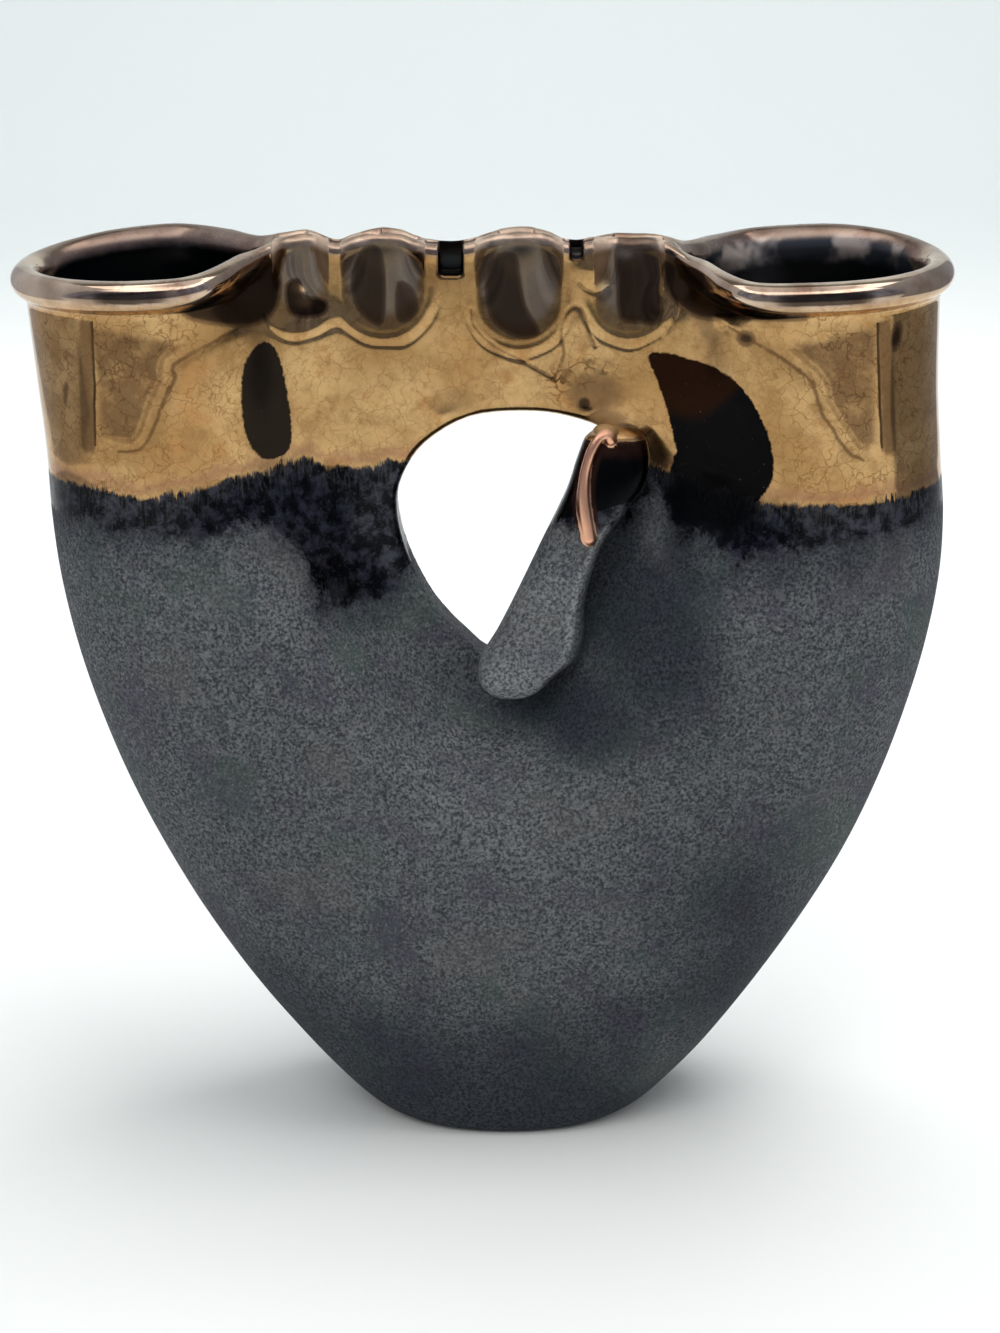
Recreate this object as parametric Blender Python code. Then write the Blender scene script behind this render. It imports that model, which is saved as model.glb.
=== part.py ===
"""Raku vase with two mouths, a pinched bridge between them and a window cut through the middle.

The origin is at the centre of the flat foot, on the plane that it stands on. +Z is up, and the
front of the vase, with the folded flap, faces -Y. Dimensions below are in millimetres.
"""

import math

import bmesh
import bpy

MM = 0.001

# ---- driving dimensions ----
GAP = 0.3            # slip joint left open between neighbouring pieces
WALL = 5.2           # thickness of the thrown wall
WEB = 5.6            # half the thickness of the pressed web
FOOT_TOP = 7.0       # top of the base slab
BELLY_TOP = 107.0    # seam just above the tip of the window
ARM_TOP = 137.0      # seam at the edge of the glaze
BRIDGE_FOOT = 150.0  # underside of the bridge beside the window
NECK_TOP = 178.8     # seat of the rolled lips
BRIDGE_LEFT, BRIDGE_RIGHT = -47.0, 30.0
LIP = 3.2            # radius of the rolled lips

# Half widths to the left and right of the foot's centre, and the half depth, by height.
LEFT = [(0, 28), (3, 32.4), (8, 37.8), (16, 45), (30, 55.9), (45, 65.6), (60, 73.6), (75, 80.4), (90, 85.8),
        (105, 90), (120, 92.8), (133, 94), (146, 94.4), (160, 95.4), (178, 96.8), (192, 97.6)]
RIGHT = [(0, 28), (3, 32.2), (8, 37.4), (16, 44.6), (30, 54.8), (45, 64.3), (60, 72.3), (75, 78.5), (90, 83.3),
         (105, 87), (120, 89.2), (133, 89.4), (146, 88.2), (160, 87), (178, 86.4), (192, 86.2)]
DEPTH = [(0, 20), (3, 22), (8, 23.8), (20, 26.4), (40, 29.4), (60, 31.2), (80, 31.8), (100, 31), (120, 29),
         (140, 26.4), (160, 23.6), (178, 22), (192, 21.4)]
FULLNESS = [(0, 0.3), (60, 0.5), (100, 0.9), (140, 1.9), (165, 2.6), (192, 2.7)]

# Window outline, clockwise from the top right corner, as (x, z).
WINDOW = [(20, 150.2), (12, 153.6), (3, 154.6), (-8, 153.4), (-17, 148), (-21.7, 141), (-22.8, 134), (-20.8, 124.5),
          (-15.6, 113.8), (-8.8, 106), (-3, 102), (3.5, 109), (9.5, 121), (15.5, 134), (19.5, 144)]

# Top edge of the bridge, and the thumb dents pressed into it: x, z, half width, half height, depth.
BRIDGE_TOP = [(-52, 187.2), (-47, 189), (-41.5, 190.8), (-36, 189.6), (-32.5, 189.4), (-26.5, 191.2), (-20, 190.6), (-15.5, 188.8),
              (-12, 188), (-8.5, 188.8), (-4, 190.8), (1, 191.4), (7, 191), (12, 189.4), (15, 188.8), (19, 189.4),
              (24, 189.6), (30, 189.2), (36, 187.6)]
FRONT_DENTS = [(-42.5, 183, 6, 13, 2.6), (-24.5, 182.5, 9, 14, 3.4), (-11.5, 184, 3, 5, 2.6), (1.6, 181.5, 9.5, 15, 3.6), (24, 181, 7, 13, 2.8)]
BACK_DENTS = [(-34, 182, 9, 14, 2.4), (-10, 182, 9, 14, 2.2), (13, 182, 9, 14, 2.6)]

# Folded flap: x, y of its core in front of the wall, z, half width, half thickness.
FLAP = [(22.0, -7.0, 149, 4.0, 3.0), (21.2, -8.6, 145, 6.4, 4.2), (18.4, -9.6, 137, 6.6, 4.6), (13.6, -10.6, 126, 5.8, 4.6),
        (8.6, -11.6, 116, 6.4, 4.8), (4.4, -12.8, 107.5, 8.6, 5.0), (2.0, -13.8, 102, 8.2, 4.4), (0.8, -14.4, 99, 5.0, 2.6)]


def through(stations):
    """A smooth curve through (position, value) stations, as a function of the position."""
    def slope(i):
        a, b = stations[max(i - 1, 0)], stations[min(i + 1, len(stations) - 1)]
        return (b[1] - a[1]) / (b[0] - a[0])

    def at(t):
        t = min(max(t, stations[0][0]), stations[-1][0])
        i = max(k for k in range(len(stations) - 1) if stations[k][0] <= t)
        (t0, v0), (t1, v1) = stations[i], stations[i + 1]
        d, f = t1 - t0, (t - t0) / (t1 - t0)
        return ((1 + 2 * f) * (1 - f) ** 2 * v0 + f * (1 - f) ** 2 * d * slope(i)
                + f * f * (3 - 2 * f) * v1 + f * f * (f - 1) * d * slope(i + 1))

    return at


def closed_curve(points, steps):
    """Points on a smooth closed curve through the given ones."""
    found, n = [], len(points)
    for i in range(n):
        p0, p1, p2, p3 = (points[(i + k) % n] for k in (-1, 0, 1, 2))
        for s in range(steps):
            f = s / steps
            found.append(tuple(0.5 * (2 * b + (c - a) * f + (2 * a - 5 * b + 4 * c - d) * f * f
                                      + (3 * b - a - 3 * c + d) * f ** 3)
                               for a, b, c, d in zip(p0, p1, p2, p3)))
    return found


left_at, right_at, depth_at, fullness_at = (through(s) for s in (LEFT, RIGHT, DEPTH, FULLNESS))
bridge_top_at = through(BRIDGE_TOP)
window_line = closed_curve(WINDOW, 2)


def from_window(x, z):
    """Distance to the window's outline, negative inside the window."""
    nearest, inside = 1e9, False
    for (x0, z0), (x1, z1) in zip(window_line, window_line[1:] + window_line[:1]):
        dx, dz = x1 - x0, z1 - z0
        f = min(max(((x - x0) * dx + (z - z0) * dz) / (dx * dx + dz * dz), 0), 1)
        nearest = min(nearest, math.hypot(x - x0 - f * dx, z - z0 - f * dz))
        if (z0 > z) != (z1 > z) and x < x0 + (z - z0) * dx / dz:
            inside = not inside
    return -nearest if inside else nearest


def pressed(x, z):
    """How far the front and back walls are pressed together: 1 at the web, 0 out on the lobes."""
    to_bridge = math.hypot(max(BRIDGE_LEFT - x, x - BRIDGE_RIGHT, 0), max(152 - z, 0))
    reach = 30 - 8 * min(max((z - 135) / 25, 0), 1)
    near = max(1 - max(min(to_bridge, from_window(x, z)), 0) / reach, 0)
    return near * near * (3 - 2 * near)


def half_depth(x, z, inset=0.0):
    """Half the depth of the vase at x and z, over its outer face or a face inset from it."""
    side = (right_at(z) if x > 0 else left_at(z)) - inset
    u = min((x / side) ** 2, 1)
    open_depth = (depth_at(z) - inset) * math.sqrt((1 - u) * (1 + fullness_at(z) * u))
    p = pressed(x, z)
    return open_depth * (1 - p) + (WEB - 1.5 * inset) * p


def oval_ring(z, x0, x1, inset, count, z_level=None):
    """A ring of points around the vase at one height, between two x limits."""
    upper = []
    for i in range(count + 1):
        x = 0.5 * (x0 + x1) - 0.5 * (x1 - x0) * math.cos(math.pi * i / count)
        upper.append((x, max(half_depth(x, z, inset), 0.25)))
    ring = upper + [(x, -y) for x, y in reversed(upper)]
    return [(x * MM, y * MM, (z if z_level is None else z_level) * MM) for x, y in ring]


def skin(name, rings, closed=False):
    """A closed surface over a row of rings with equal counts, capped unless the row itself closes."""
    bm = bmesh.new()
    loops = [[bm.verts.new(p) for p in ring] for ring in rings]
    n = len(loops[0])
    for a, b in zip(loops, loops[1:] + loops[:1] if closed else loops[1:]):
        for i in range(n):
            bm.faces.new((a[i], a[(i + 1) % n], b[(i + 1) % n], b[i]))
    if not closed:
        bm.faces.new(loops[0][::-1])
        bm.faces.new(loops[-1])
    bmesh.ops.recalc_face_normals(bm, faces=bm.faces[:])
    bmesh.ops.triangulate(bm, faces=[f for f in bm.faces if len(f.verts) == 4], quad_method="SHORT_EDGE")
    mesh = bpy.data.meshes.new(name)
    bm.to_mesh(mesh)
    bm.free()
    return mesh


def add(name, mesh, material=None):
    obj = bpy.data.objects.new(name, mesh)
    bpy.context.scene.collection.objects.link(obj)
    if material:
        mesh.materials.clear()
        mesh.materials.append(material)
    else:
        obj.hide_render = True
        obj.display_type = "WIRE"
    return obj


def block(name, lo, hi):
    """A plain box between two corners, used to bound a region of the wall."""
    bm = bmesh.new()
    bmesh.ops.create_cube(bm, size=1)
    for v in bm.verts:
        v.co = [(a + (c + 0.5) * (b - a)) * MM for a, b, c in zip(lo, hi, v.co)]
    mesh = bpy.data.meshes.new(name)
    bm.to_mesh(mesh)
    bm.free()
    return add(name, mesh)


def boolean(obj, other, operation):
    modifier = obj.modifiers.new(operation.lower() + "_" + other.name, "BOOLEAN")
    modifier.operation, modifier.object, modifier.solver = operation, other, "EXACT"


def settled(obj):
    """The object with its modifiers applied."""
    graph = bpy.context.evaluated_depsgraph_get()
    mesh = bpy.data.meshes.new_from_object(obj.evaluated_get(graph))
    obj.modifiers.clear()
    obj.data = mesh
    return obj


def finish(name, colour, roughness, metallic):
    material = bpy.data.materials.new(name)
    material.use_nodes = True
    shader = material.node_tree.nodes["Principled BSDF"]
    shader.inputs["Base Color"].default_value = (*colour, 1)
    shader.inputs["Roughness"].default_value = roughness
    shader.inputs["Metallic"].default_value = metallic
    return material


for old in list(bpy.data.objects):
    bpy.data.objects.remove(old, do_unlink=True)

# ---- the whole thrown wall, before it is parted ----
outer_heights = [0, 1.2, 3, 8, 16, 28, 43, 60, 77, 92, 105, 116, 127, 138, 147, 156, 167, NECK_TOP]
outer = add("outer_form", skin("outer_form", [
    oval_ring(z, -left_at(z), right_at(z), 0, 24) for z in outer_heights]))

clearance = add("wall_clearance", outer.data.copy())
for vertex, normal in zip(clearance.data.vertices, [v.normal.copy() for v in outer.data.vertices]):
    vertex.co += normal * 1.2 * GAP * MM

cavity_heights = [8, 14, 26, 42, 60, 78, 90, 102, 115, 128, 140, 150, 160, 170, 182]


def seam(z, side):
    """Where a lobe's hollow ends towards the middle of the vase."""
    if z < 80:
        return -14 * side
    x = -14.0 * side
    while half_depth(x, z, WALL) < 0.6:
        x += 0.5 * side
    return x


hollows = []
for name, side in (("left_hollow", -1), ("right_hollow", 1)):
    rings = []
    for z in cavity_heights:
        far = (right_at(z) if side > 0 else left_at(z)) - WALL
        limits = sorted((side * far, seam(z, side)))
        rings.append(oval_ring(z, *limits, WALL, 15))
    bottom = [(x, y, (FOOT_TOP + GAP / 2) * MM) for x, y, _ in rings[0]]
    hollows.append(add(name, skin(name, [bottom] + rings)))

window = add("window_cut", skin("window_cut", [
    [((x + flare * (x - 2) / 22) * MM, y * MM, (z + flare * (z - 132) / 24) * MM) for x, z in window_line]
    for y, flare in ((-60, 2.2), (-8, 2.2), (-5, 0.8), (-2.5, 0), (2.5, 0), (5, 0.8), (8, 2.2), (60, 2.2))]))

for cutter in hollows + [window]:
    boolean(outer, cutter, "DIFFERENCE")
wall_mesh = settled(outer).data

# ---- finishes ----
clay = {"colour": (0.105, 0.11, 0.118), "roughness": 0.9, "metallic": 0.0}
glaze = {"colour": (0.43, 0.275, 0.115), "roughness": 0.14, "metallic": 0.9}
lip = {"colour": (0.23, 0.155, 0.115), "roughness": 0.16, "metallic": 0.75}

# ---- the pieces of the wall ----
FAR = 140
regions = {
    "foot_base": ((-FAR, -FAR, -5), (FAR, FAR, FOOT_TOP), clay),
    "belly_wall": ((-FAR, -FAR, FOOT_TOP + GAP), (FAR, FAR, BELLY_TOP), clay),
    "left_arm_wall": ((-FAR, -FAR, BELLY_TOP + GAP), (-2, FAR, ARM_TOP), clay),
    "right_arm_wall": ((-2, -FAR, BELLY_TOP + GAP), (FAR, FAR, ARM_TOP), clay),
    "left_neck_wall": ((-FAR, -FAR, ARM_TOP + GAP), (-2, FAR, NECK_TOP + 9), glaze),
    "right_neck_wall": ((-2, -FAR, ARM_TOP + GAP), (FAR, FAR, NECK_TOP + 9), glaze),
}
bridge_room = block("bridge_room", (BRIDGE_LEFT - GAP / 2, -FAR, BRIDGE_FOOT - GAP / 2), (BRIDGE_RIGHT + GAP / 2, FAR, 220))
for name, (lo, hi, look) in regions.items():
    piece = add(name, wall_mesh.copy(), finish(name + "_finish", **look))
    boolean(piece, block(name + "_region", lo, hi), "INTERSECT")
    if "neck" in name:
        boolean(piece, bridge_room, "DIFFERENCE")
    piece.data.shade_smooth()
    piece.data.set_sharp_from_angle(angle=math.radians(40))
bpy.data.objects.remove(outer, do_unlink=True)


# ---- pinched bridge ----
def dent(dents, x, z):
    return sum(d * max(1 - ((x - cx) / w) ** 2 - ((z - cz) / h) ** 2, 0) ** 0.8 for cx, cz, w, h, d in dents)


def bridge_section(x, lift=BRIDGE_FOOT + GAP / 2):
    top = bridge_top_at(x)
    shoulder = top - 4.6
    heights = [lift + (shoulder - lift) * i / 9 for i in range(10)]
    front = [(-half_depth(x, z) + dent(FRONT_DENTS, x, z), z) for z in heights]
    back = [(half_depth(x, z) - dent(BACK_DENTS, x, z), z) for z in heights]
    y0, y1 = front[-1][0], back[-1][0]
    crown = [(0.5 * (y0 + y1) - 0.5 * (y1 - y0) * math.cos(math.pi * i / 5), shoulder + 4.6 * math.sin(math.pi * i / 5))
             for i in range(1, 5)]
    return [(x * MM, y * MM, z * MM) for y, z in front + crown + back[::-1]]


span = BRIDGE_RIGHT - BRIDGE_LEFT - GAP
bridge = add("pinched_bridge", skin("pinched_bridge", [
    bridge_section(BRIDGE_LEFT + GAP / 2 + span * i / 32) for i in range(33)]), finish("pinched_bridge_finish", **glaze))
boolean(bridge, window, "DIFFERENCE")
bridge.data.shade_smooth()
bridge.data.set_sharp_from_angle(angle=math.radians(40))


# ---- rolled lips: a bead with a flat seat, swept round each mouth ----
def lip_rings(x_outer, x_inner, reach, low, lean, rise):
    """Sections of a lip whose egg-shaped path runs from the outer end of a mouth to its pinched end."""
    middle, half = 0.5 * (x_outer + x_inner), 0.5 * (x_inner - x_outer)

    def path(t):
        return middle + half * math.cos(t), reach * math.sin(t) * (1 - 0.16 * math.cos(t))

    rings = []
    for i in range(44):
        t = 2 * math.pi * i / 44
        x, y = path(t)
        (xa, ya), (xb, yb) = path(t - 0.01), path(t + 0.01)
        nx, ny = (yb - ya), -(xb - xa)
        size = math.hypot(nx, ny) * math.copysign(1, half)
        nx, ny = nx / size, ny / size
        centre = low + lean * (0.5 + 0.5 * math.cos(t)) ** rise + 0.5 * y / reach
        profile = [(-2.4, NECK_TOP + GAP)]
        for k in range(8):
            a = math.radians(205 - 230 * k / 7)
            profile.append((LIP * math.cos(a), max(centre + LIP * math.sin(a), NECK_TOP + GAP + 0.4)))
        profile.append((2.4, NECK_TOP + GAP))
        rings.append([((x + nx * n) * MM, (y + ny * n) * MM, z * MM) for n, z in profile])
    return rings


MOUTHS = {  # x at the outer end and at the pinched end, reach to front and back, height, lean up towards the bridge
    "left_rim_roll": (-95.8, BRIDGE_LEFT - GAP - LIP - 0.4, 24.0, 181.9, 4.6, 1.8),
    "right_rim_roll": (85.4, BRIDGE_RIGHT + GAP + LIP + 0.4, 24.0, 182.7, 4.6, 4.0),
}
for name, mouth in MOUTHS.items():
    roll = add(name, skin(name, lip_rings(*mouth), closed=True), finish(name + "_finish", **lip))
    roll.data.shade_smooth()
    roll.data.set_sharp_from_angle(angle=math.radians(50))


# ---- folded flap, with its back lying on the wall ----
def flap_rings(count=14, sides=14):
    tracks = [through([(i, row[k]) for i, row in enumerate(FLAP)]) for k in range(5)]
    rings = []
    for i in range(count + 1):
        x, y, z, w, t = (track((len(FLAP) - 1) * i / count) for track in tracks)
        tilt = math.radians(22)
        ring = []
        for k in range(sides):
            a = 2 * math.pi * k / sides
            across, out = w * math.cos(a), t * math.sin(a)
            ring.append(((x + across * math.cos(tilt)) * MM, (y - out) * MM, (z - across * math.sin(tilt)) * MM))
        rings.append(ring)
    return rings


flap = add("folded_flap", skin("folded_flap", flap_rings()), finish("folded_flap_finish", **clay))
boolean(flap, clearance, "DIFFERENCE")
flap.data.shade_smooth()
flap.data.set_sharp_from_angle(angle=math.radians(40))
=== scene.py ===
import math

import bmesh
import bpy
import numpy as np
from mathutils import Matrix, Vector


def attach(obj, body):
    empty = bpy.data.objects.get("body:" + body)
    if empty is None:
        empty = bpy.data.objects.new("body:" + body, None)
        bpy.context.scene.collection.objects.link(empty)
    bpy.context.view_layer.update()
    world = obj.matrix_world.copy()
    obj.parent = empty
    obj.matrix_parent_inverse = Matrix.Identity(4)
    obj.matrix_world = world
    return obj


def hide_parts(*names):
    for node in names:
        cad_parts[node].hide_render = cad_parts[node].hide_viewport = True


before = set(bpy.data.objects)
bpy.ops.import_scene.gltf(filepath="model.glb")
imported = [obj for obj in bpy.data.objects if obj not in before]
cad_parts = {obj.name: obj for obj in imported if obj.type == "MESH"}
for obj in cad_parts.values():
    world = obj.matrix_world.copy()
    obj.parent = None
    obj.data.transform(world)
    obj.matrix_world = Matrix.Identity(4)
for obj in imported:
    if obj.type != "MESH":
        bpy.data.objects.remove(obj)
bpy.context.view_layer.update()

scene = bpy.context.scene
MM = 0.001

# ------------------------------------------------------------------ camera
# The picture's middle looks at AIM from DISTANCE, 20 degrees down.
AIM, DISTANCE, PITCH, FOCAL_PX = Vector((-1.8, 0.0, 98.3)) * MM, 0.610, math.radians(20.0), 2900.0
camera = bpy.data.objects.new("camera", bpy.data.cameras.new("camera"))
scene.collection.objects.link(camera)
camera.data.sensor_fit = "AUTO"
camera.data.sensor_width = 36.0
camera.data.lens = FOCAL_PX / 1333.0 * 36.0
camera.data.clip_start = 0.01
camera.location = AIM - DISTANCE * Vector((0.0, math.cos(PITCH), -math.sin(PITCH)))
camera.rotation_euler = (math.radians(90.0) - PITCH, 0.0, 0.0)
scene.camera = camera

# ------------------------------------------------------------------ shape of the vase, in millimetres
WEB = 5.6
BRIDGE_LEFT, BRIDGE_RIGHT = -47.0, 30.0
FOOT_TOP, BELLY_TOP, ARM_TOP, BRIDGE_FOOT, NECK_TOP = 7.15, 107.15, 137.15, 150.0, 178.95

LEFT = [(0, 25.2), (1.2, 28.8), (3, 32.2), (8, 37.8), (16, 45), (30, 55.9), (45, 65.6), (60, 73.6), (75, 80.4), (90, 85.8),
        (105, 90), (120, 92.8), (133, 94), (146, 94.4), (160, 95.4), (178, 96.8), (192, 97.6)]
RIGHT = [(0, 25.2), (1.2, 28.6), (3, 32), (8, 37.4), (16, 44.6), (30, 54.8), (45, 64.3), (60, 72.3), (75, 78.5), (90, 83.3),
         (105, 87), (120, 89.2), (133, 89.4), (146, 88.2), (160, 87), (178, 86.4), (192, 86.2)]
DEPTH = [(0, 22.4), (1.2, 23.6), (3, 24.4), (8, 25.4), (20, 27), (40, 29.4), (60, 31.2), (80, 31.8), (100, 30.6), (115, 28.2),
         (128, 25.6), (138, 24.0), (146, 23.3), (156, 22.9), (168, 22.7), (180, 22.7), (192, 22.7)]
FULLNESS = [(0, 0.3), (60, 0.5), (100, 0.9), (140, 1.9), (165, 2.6), (192, 2.7)]
WALL = [(0, 5.4), (120, 5.2), (165, 4.6), (182, 3.6), (195, 3.4)]
WINDOW = [(20, 150.2), (12, 153.6), (3, 154.6), (-8, 153.4), (-17, 148), (-21.7, 141), (-22.8, 134), (-20.8, 124.5),
          (-15.6, 113.8), (-8.8, 106), (-3, 102), (3.5, 109), (9.5, 121), (15.5, 134), (19.5, 144)]
# Where the pressed-in wall slopes most on each side of the bridge, and the width it takes to open out.
PINCH_LEFT = [(110, -44), (135, -47.5), (150, -49.5), (166, -50), (174, -50.6), (179, -52.2), (183, -53.4), (192, -53.6)]
REACH_LEFT = [(105, 34), (130, 42), (146, 46), (164, 46), (174, 45), (179, 35.5), (183, 26), (192, 23)]
PINCH_RIGHT = [(110, 42), (135, 43), (150, 42), (164, 41.2), (174, 40.6), (179, 40), (183, 39.4), (192, 39.6)]
REACH_RIGHT = [(105, 34), (130, 40), (146, 45), (164, 45), (174, 44), (179, 33.5), (183, 23), (192, 20)]
# Height of the lip's core along the vase: mouths at both ends, thumb-pressed scallops between them.
LIP_LINE = [(-100, 181.4), (-94, 181.5), (-82, 182.0), (-72, 182.6), (-62, 183.6), (-55, 184.9), (-51, 186.2), (-47, 188.0),
            (-43.5, 188.7), (-40, 189.0), (-36.6, 188.1), (-34.2, 187.5), (-31.5, 188.3), (-26.5, 189.3), (-22, 189.0), (-18.6, 187.9),
            (-15.5, 187.4), (-11.5, 187.2), (-8.3, 187.6), (-5.5, 188.3), (-1, 189.2), (3.5, 189.5), (8, 188.9), (10.8, 187.9),
            (13.5, 187.5), (16.5, 188.0), (20.5, 188.3), (25, 188.2), (29, 188.2), (32, 187.6), (36, 185.3), (41, 183.4), (48, 182.5),
            (58, 182.4), (70, 182.6), (80, 182.9), (92, 183.0)]
# How much higher the lip runs along the back of the mouths.
BACK_LIP = [(-100, 0.3), (-90, 1.1), (-82, 1.7), (-72, 1.7), (-63, 1.0), (-55, 0.1), (-48, -0.4), (-40, 0), (30, 0), (37, -0.1), (45, 0.3),
            (56, 1.3), (68, 2.0), (78, 1.5), (90, 0.3)]
# Thumb presses on the front of the bridge: centre x, foot z, half width, depth.
THUMBS = [(-41.4, 174.0, 5.5, 3.9), (-25.1, 172.0, 8.4, 4.2), (2.0, 169.8, 8.7, 4.3), (23.8, 172.0, 6.9, 4.1)]
FINGERS = [(-33.0, 172.0, 7.5, 1.4), (-10.0, 171.0, 8.0, 1.4), (13.0, 171.0, 8.0, 1.5)]
# Soft folds that run down from the bridge across each lobe.
FOLDS = [[(-50, 176.2), (-55, 174.4), (-60, 172.2), (-65.2, 169.2), (-65.2, 166.3), (-68, 161.1), (-70.4, 154.6), (-73, 151.6), (-77, 150.9)],
         [(43, 175.4), (46, 174), (50, 172), (54.3, 169.7), (59, 165.7), (60.5, 161), (63.6, 155.8), (66.9, 151), (70, 149.3)]]
# Creases in the skin of the bridge: an upturned loop, and a long one under the third press.
CREASES = [[(9.3, 162.7), (11.0, 167.2), (10.4, 171.1), (11.4, 175.2), (13.2, 176.6), (14.9, 175.4), (16.0, 171.7), (17.2, 168.8)],
           [(-7.6, 176.0), (-7.0, 172.6), (-2.7, 168.4), (3.0, 165.4), (9.2, 161.9)],
           [(14.0, 181.6), (15.4, 180.1), (17.8, 179.5), (20.0, 180.4)]]
# Straight dark lines down each lobe: painted reflections of the edges of the light tent.
DARK_REFLECTED_LINES = [[(-81.1, 177.6), (-81.3, 165.0), (-82.0, 151.4)], [(71.5, 177.4), (72.4, 164.0), (73.8, 151.0)]]


def spline(stations):
    """A smooth curve through (position, value) stations, over arrays of positions."""
    t = np.array([s[0] for s in stations], float)
    v = np.array([s[1] for s in stations], float)
    lo, hi = np.maximum(np.arange(len(t)) - 1, 0), np.minimum(np.arange(len(t)) + 1, len(t) - 1)
    m = (v[hi] - v[lo]) / (t[hi] - t[lo])

    def at(x):
        x = np.clip(x, t[0], t[-1])
        i = np.clip(np.searchsorted(t, x, side="right") - 1, 0, len(t) - 2)
        d = t[i + 1] - t[i]
        f = (x - t[i]) / d
        g = 1 - f
        return (1 + 2 * f) * g * g * v[i] + f * g * g * d * m[i] + f * f * (3 - 2 * f) * v[i + 1] - f * f * g * d * m[i + 1]

    return at


def closed_curve(points, steps):
    p = np.array(points, float)
    a, b, c, d = (np.roll(p, s, axis=0) for s in (1, 0, -1, -2))
    rows = []
    for s in range(steps):
        f = s / steps
        rows.append(0.5 * (2 * b + (c - a) * f + (2 * a - 5 * b + 4 * c - d) * f * f + (3 * b - a - 3 * c + d) * f ** 3))
    return np.stack(rows, axis=1).reshape(-1, 2)


def open_curve(points, steps=4):
    tracks = [spline([(i, point[k]) for i, point in enumerate(points)]) for k in (0, 1)]
    at = np.linspace(0, len(points) - 1, steps * (len(points) - 1) + 1)
    return list(zip(*(track(at).tolist() for track in tracks)))


FOLDS, CREASES = [[open_curve(line) for line in group] for group in (FOLDS, CREASES)]
left_at, right_at, depth_at, fullness_at, wall_at, lip_at, back_lip = (
    spline(s) for s in (LEFT, RIGHT, DEPTH, FULLNESS, WALL, LIP_LINE, BACK_LIP))
pinch_left, pinch_right, reach_left, reach_right = (
    spline(s) for s in (PINCH_LEFT, PINCH_RIGHT, REACH_LEFT, REACH_RIGHT))
window_line = closed_curve(WINDOW, 4)


def ramp(v, lo, hi):
    f = np.clip((v - lo) / (hi - lo), 0, 1)
    return f * f * (3 - 2 * f)


def smax(a, b, k):
    h = np.maximum(k - np.abs(a - b), 0) / k
    return np.maximum(a, b) + h * h * k * 0.25


def smin(a, b, k):
    return -smax(-a, -b, k)


def to_outline(x, z, line):
    """Distance to a closed outline, negative inside it."""
    nearest = np.full(x.shape, 1e9)
    inside = np.zeros(x.shape, bool)
    for (x0, z0), (x1, z1) in zip(line, np.roll(line, -1, axis=0)):
        dx, dz = x1 - x0, z1 - z0
        f = np.clip(((x - x0) * dx + (z - z0) * dz) / (dx * dx + dz * dz), 0, 1)
        nearest = np.minimum(nearest, (x - x0 - f * dx) ** 2 + (z - z0 - f * dz) ** 2)
        if dz:
            inside ^= ((z0 > z) != (z1 > z)) & (x < x0 + (z - z0) * dx / dz)
    return np.where(inside, -1, 1) * np.sqrt(nearest)


def to_line(x, z, points):
    nearest = np.full(np.shape(x), 1e9)
    for (x0, z0), (x1, z1) in zip(points, points[1:]):
        dx, dz = x1 - x0, z1 - z0
        f = np.clip(((x - x0) * dx + (z - z0) * dz) / (dx * dx + dz * dz), 0, 1)
        nearest = np.minimum(nearest, (x - x0 - f * dx) ** 2 + (z - z0 - f * dz) ** 2)
    return np.sqrt(nearest)


def beside_line(x, z, points):
    """Distance to a line that climbs, negative on its left, fading out past both ends."""
    points = sorted(points, key=lambda point: point[1])
    heights = [point[1] for point in points]
    side = np.where(x < np.interp(z, heights, [point[0] for point in points]), -1.0, 1.0)
    past = np.maximum(np.maximum(heights[0] - z, z - heights[-1]), 0)
    return np.clip(side * to_line(x, z, points) * (1 + 40 * ramp(past, 0, 2)), -60, 60)


def press(x, z, thumbs):
    """Depth of the thumb presses: round-footed scoops that lean back more the higher they go, with a roll and a crease pushed up below them."""
    found, rim, below = 0.0, 1e9, 0.0
    for cx, foot, w, depth in thumbs:
        q = (x - cx) / w
        inside = np.maximum(1 - q * q, 0)
        above = z - (foot + w * 0.9 * (1 - np.sqrt(inside)))
        rise = 0.5 * (above + np.sqrt(above * above + 1.0)) - 0.1
        found = found + depth * inside ** 0.7 * np.clip(rise / 18.0, 0, 1.15) ** 1.1
        rim = smin(rim, np.hypot(x - cx, np.minimum(z - (foot + w * 0.9), 0)) - w, 3.0)
        below = np.maximum(below, (1 - ramp(z, foot + w * 0.4, foot + w * 1.1)) * (1 - ramp(np.abs(x - cx), w + 2, w + 6)))
    wander = 0.30 * np.sin(x * 0.31 + 1.0) + 0.16 * np.sin(x * 0.83)
    return found - below * (0.12 * np.exp(-((rim - 1.2) / 0.8) ** 2) - 0.11 * np.exp(-((rim - 2.7 - wander) / 0.55) ** 2))


def hollow(x, z, cx, cz, w, h, depth):
    return depth * np.maximum(1 - ((x - cx) / w) ** 2 - ((z - cz) / h) ** 2, 0) ** 1.3


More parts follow.
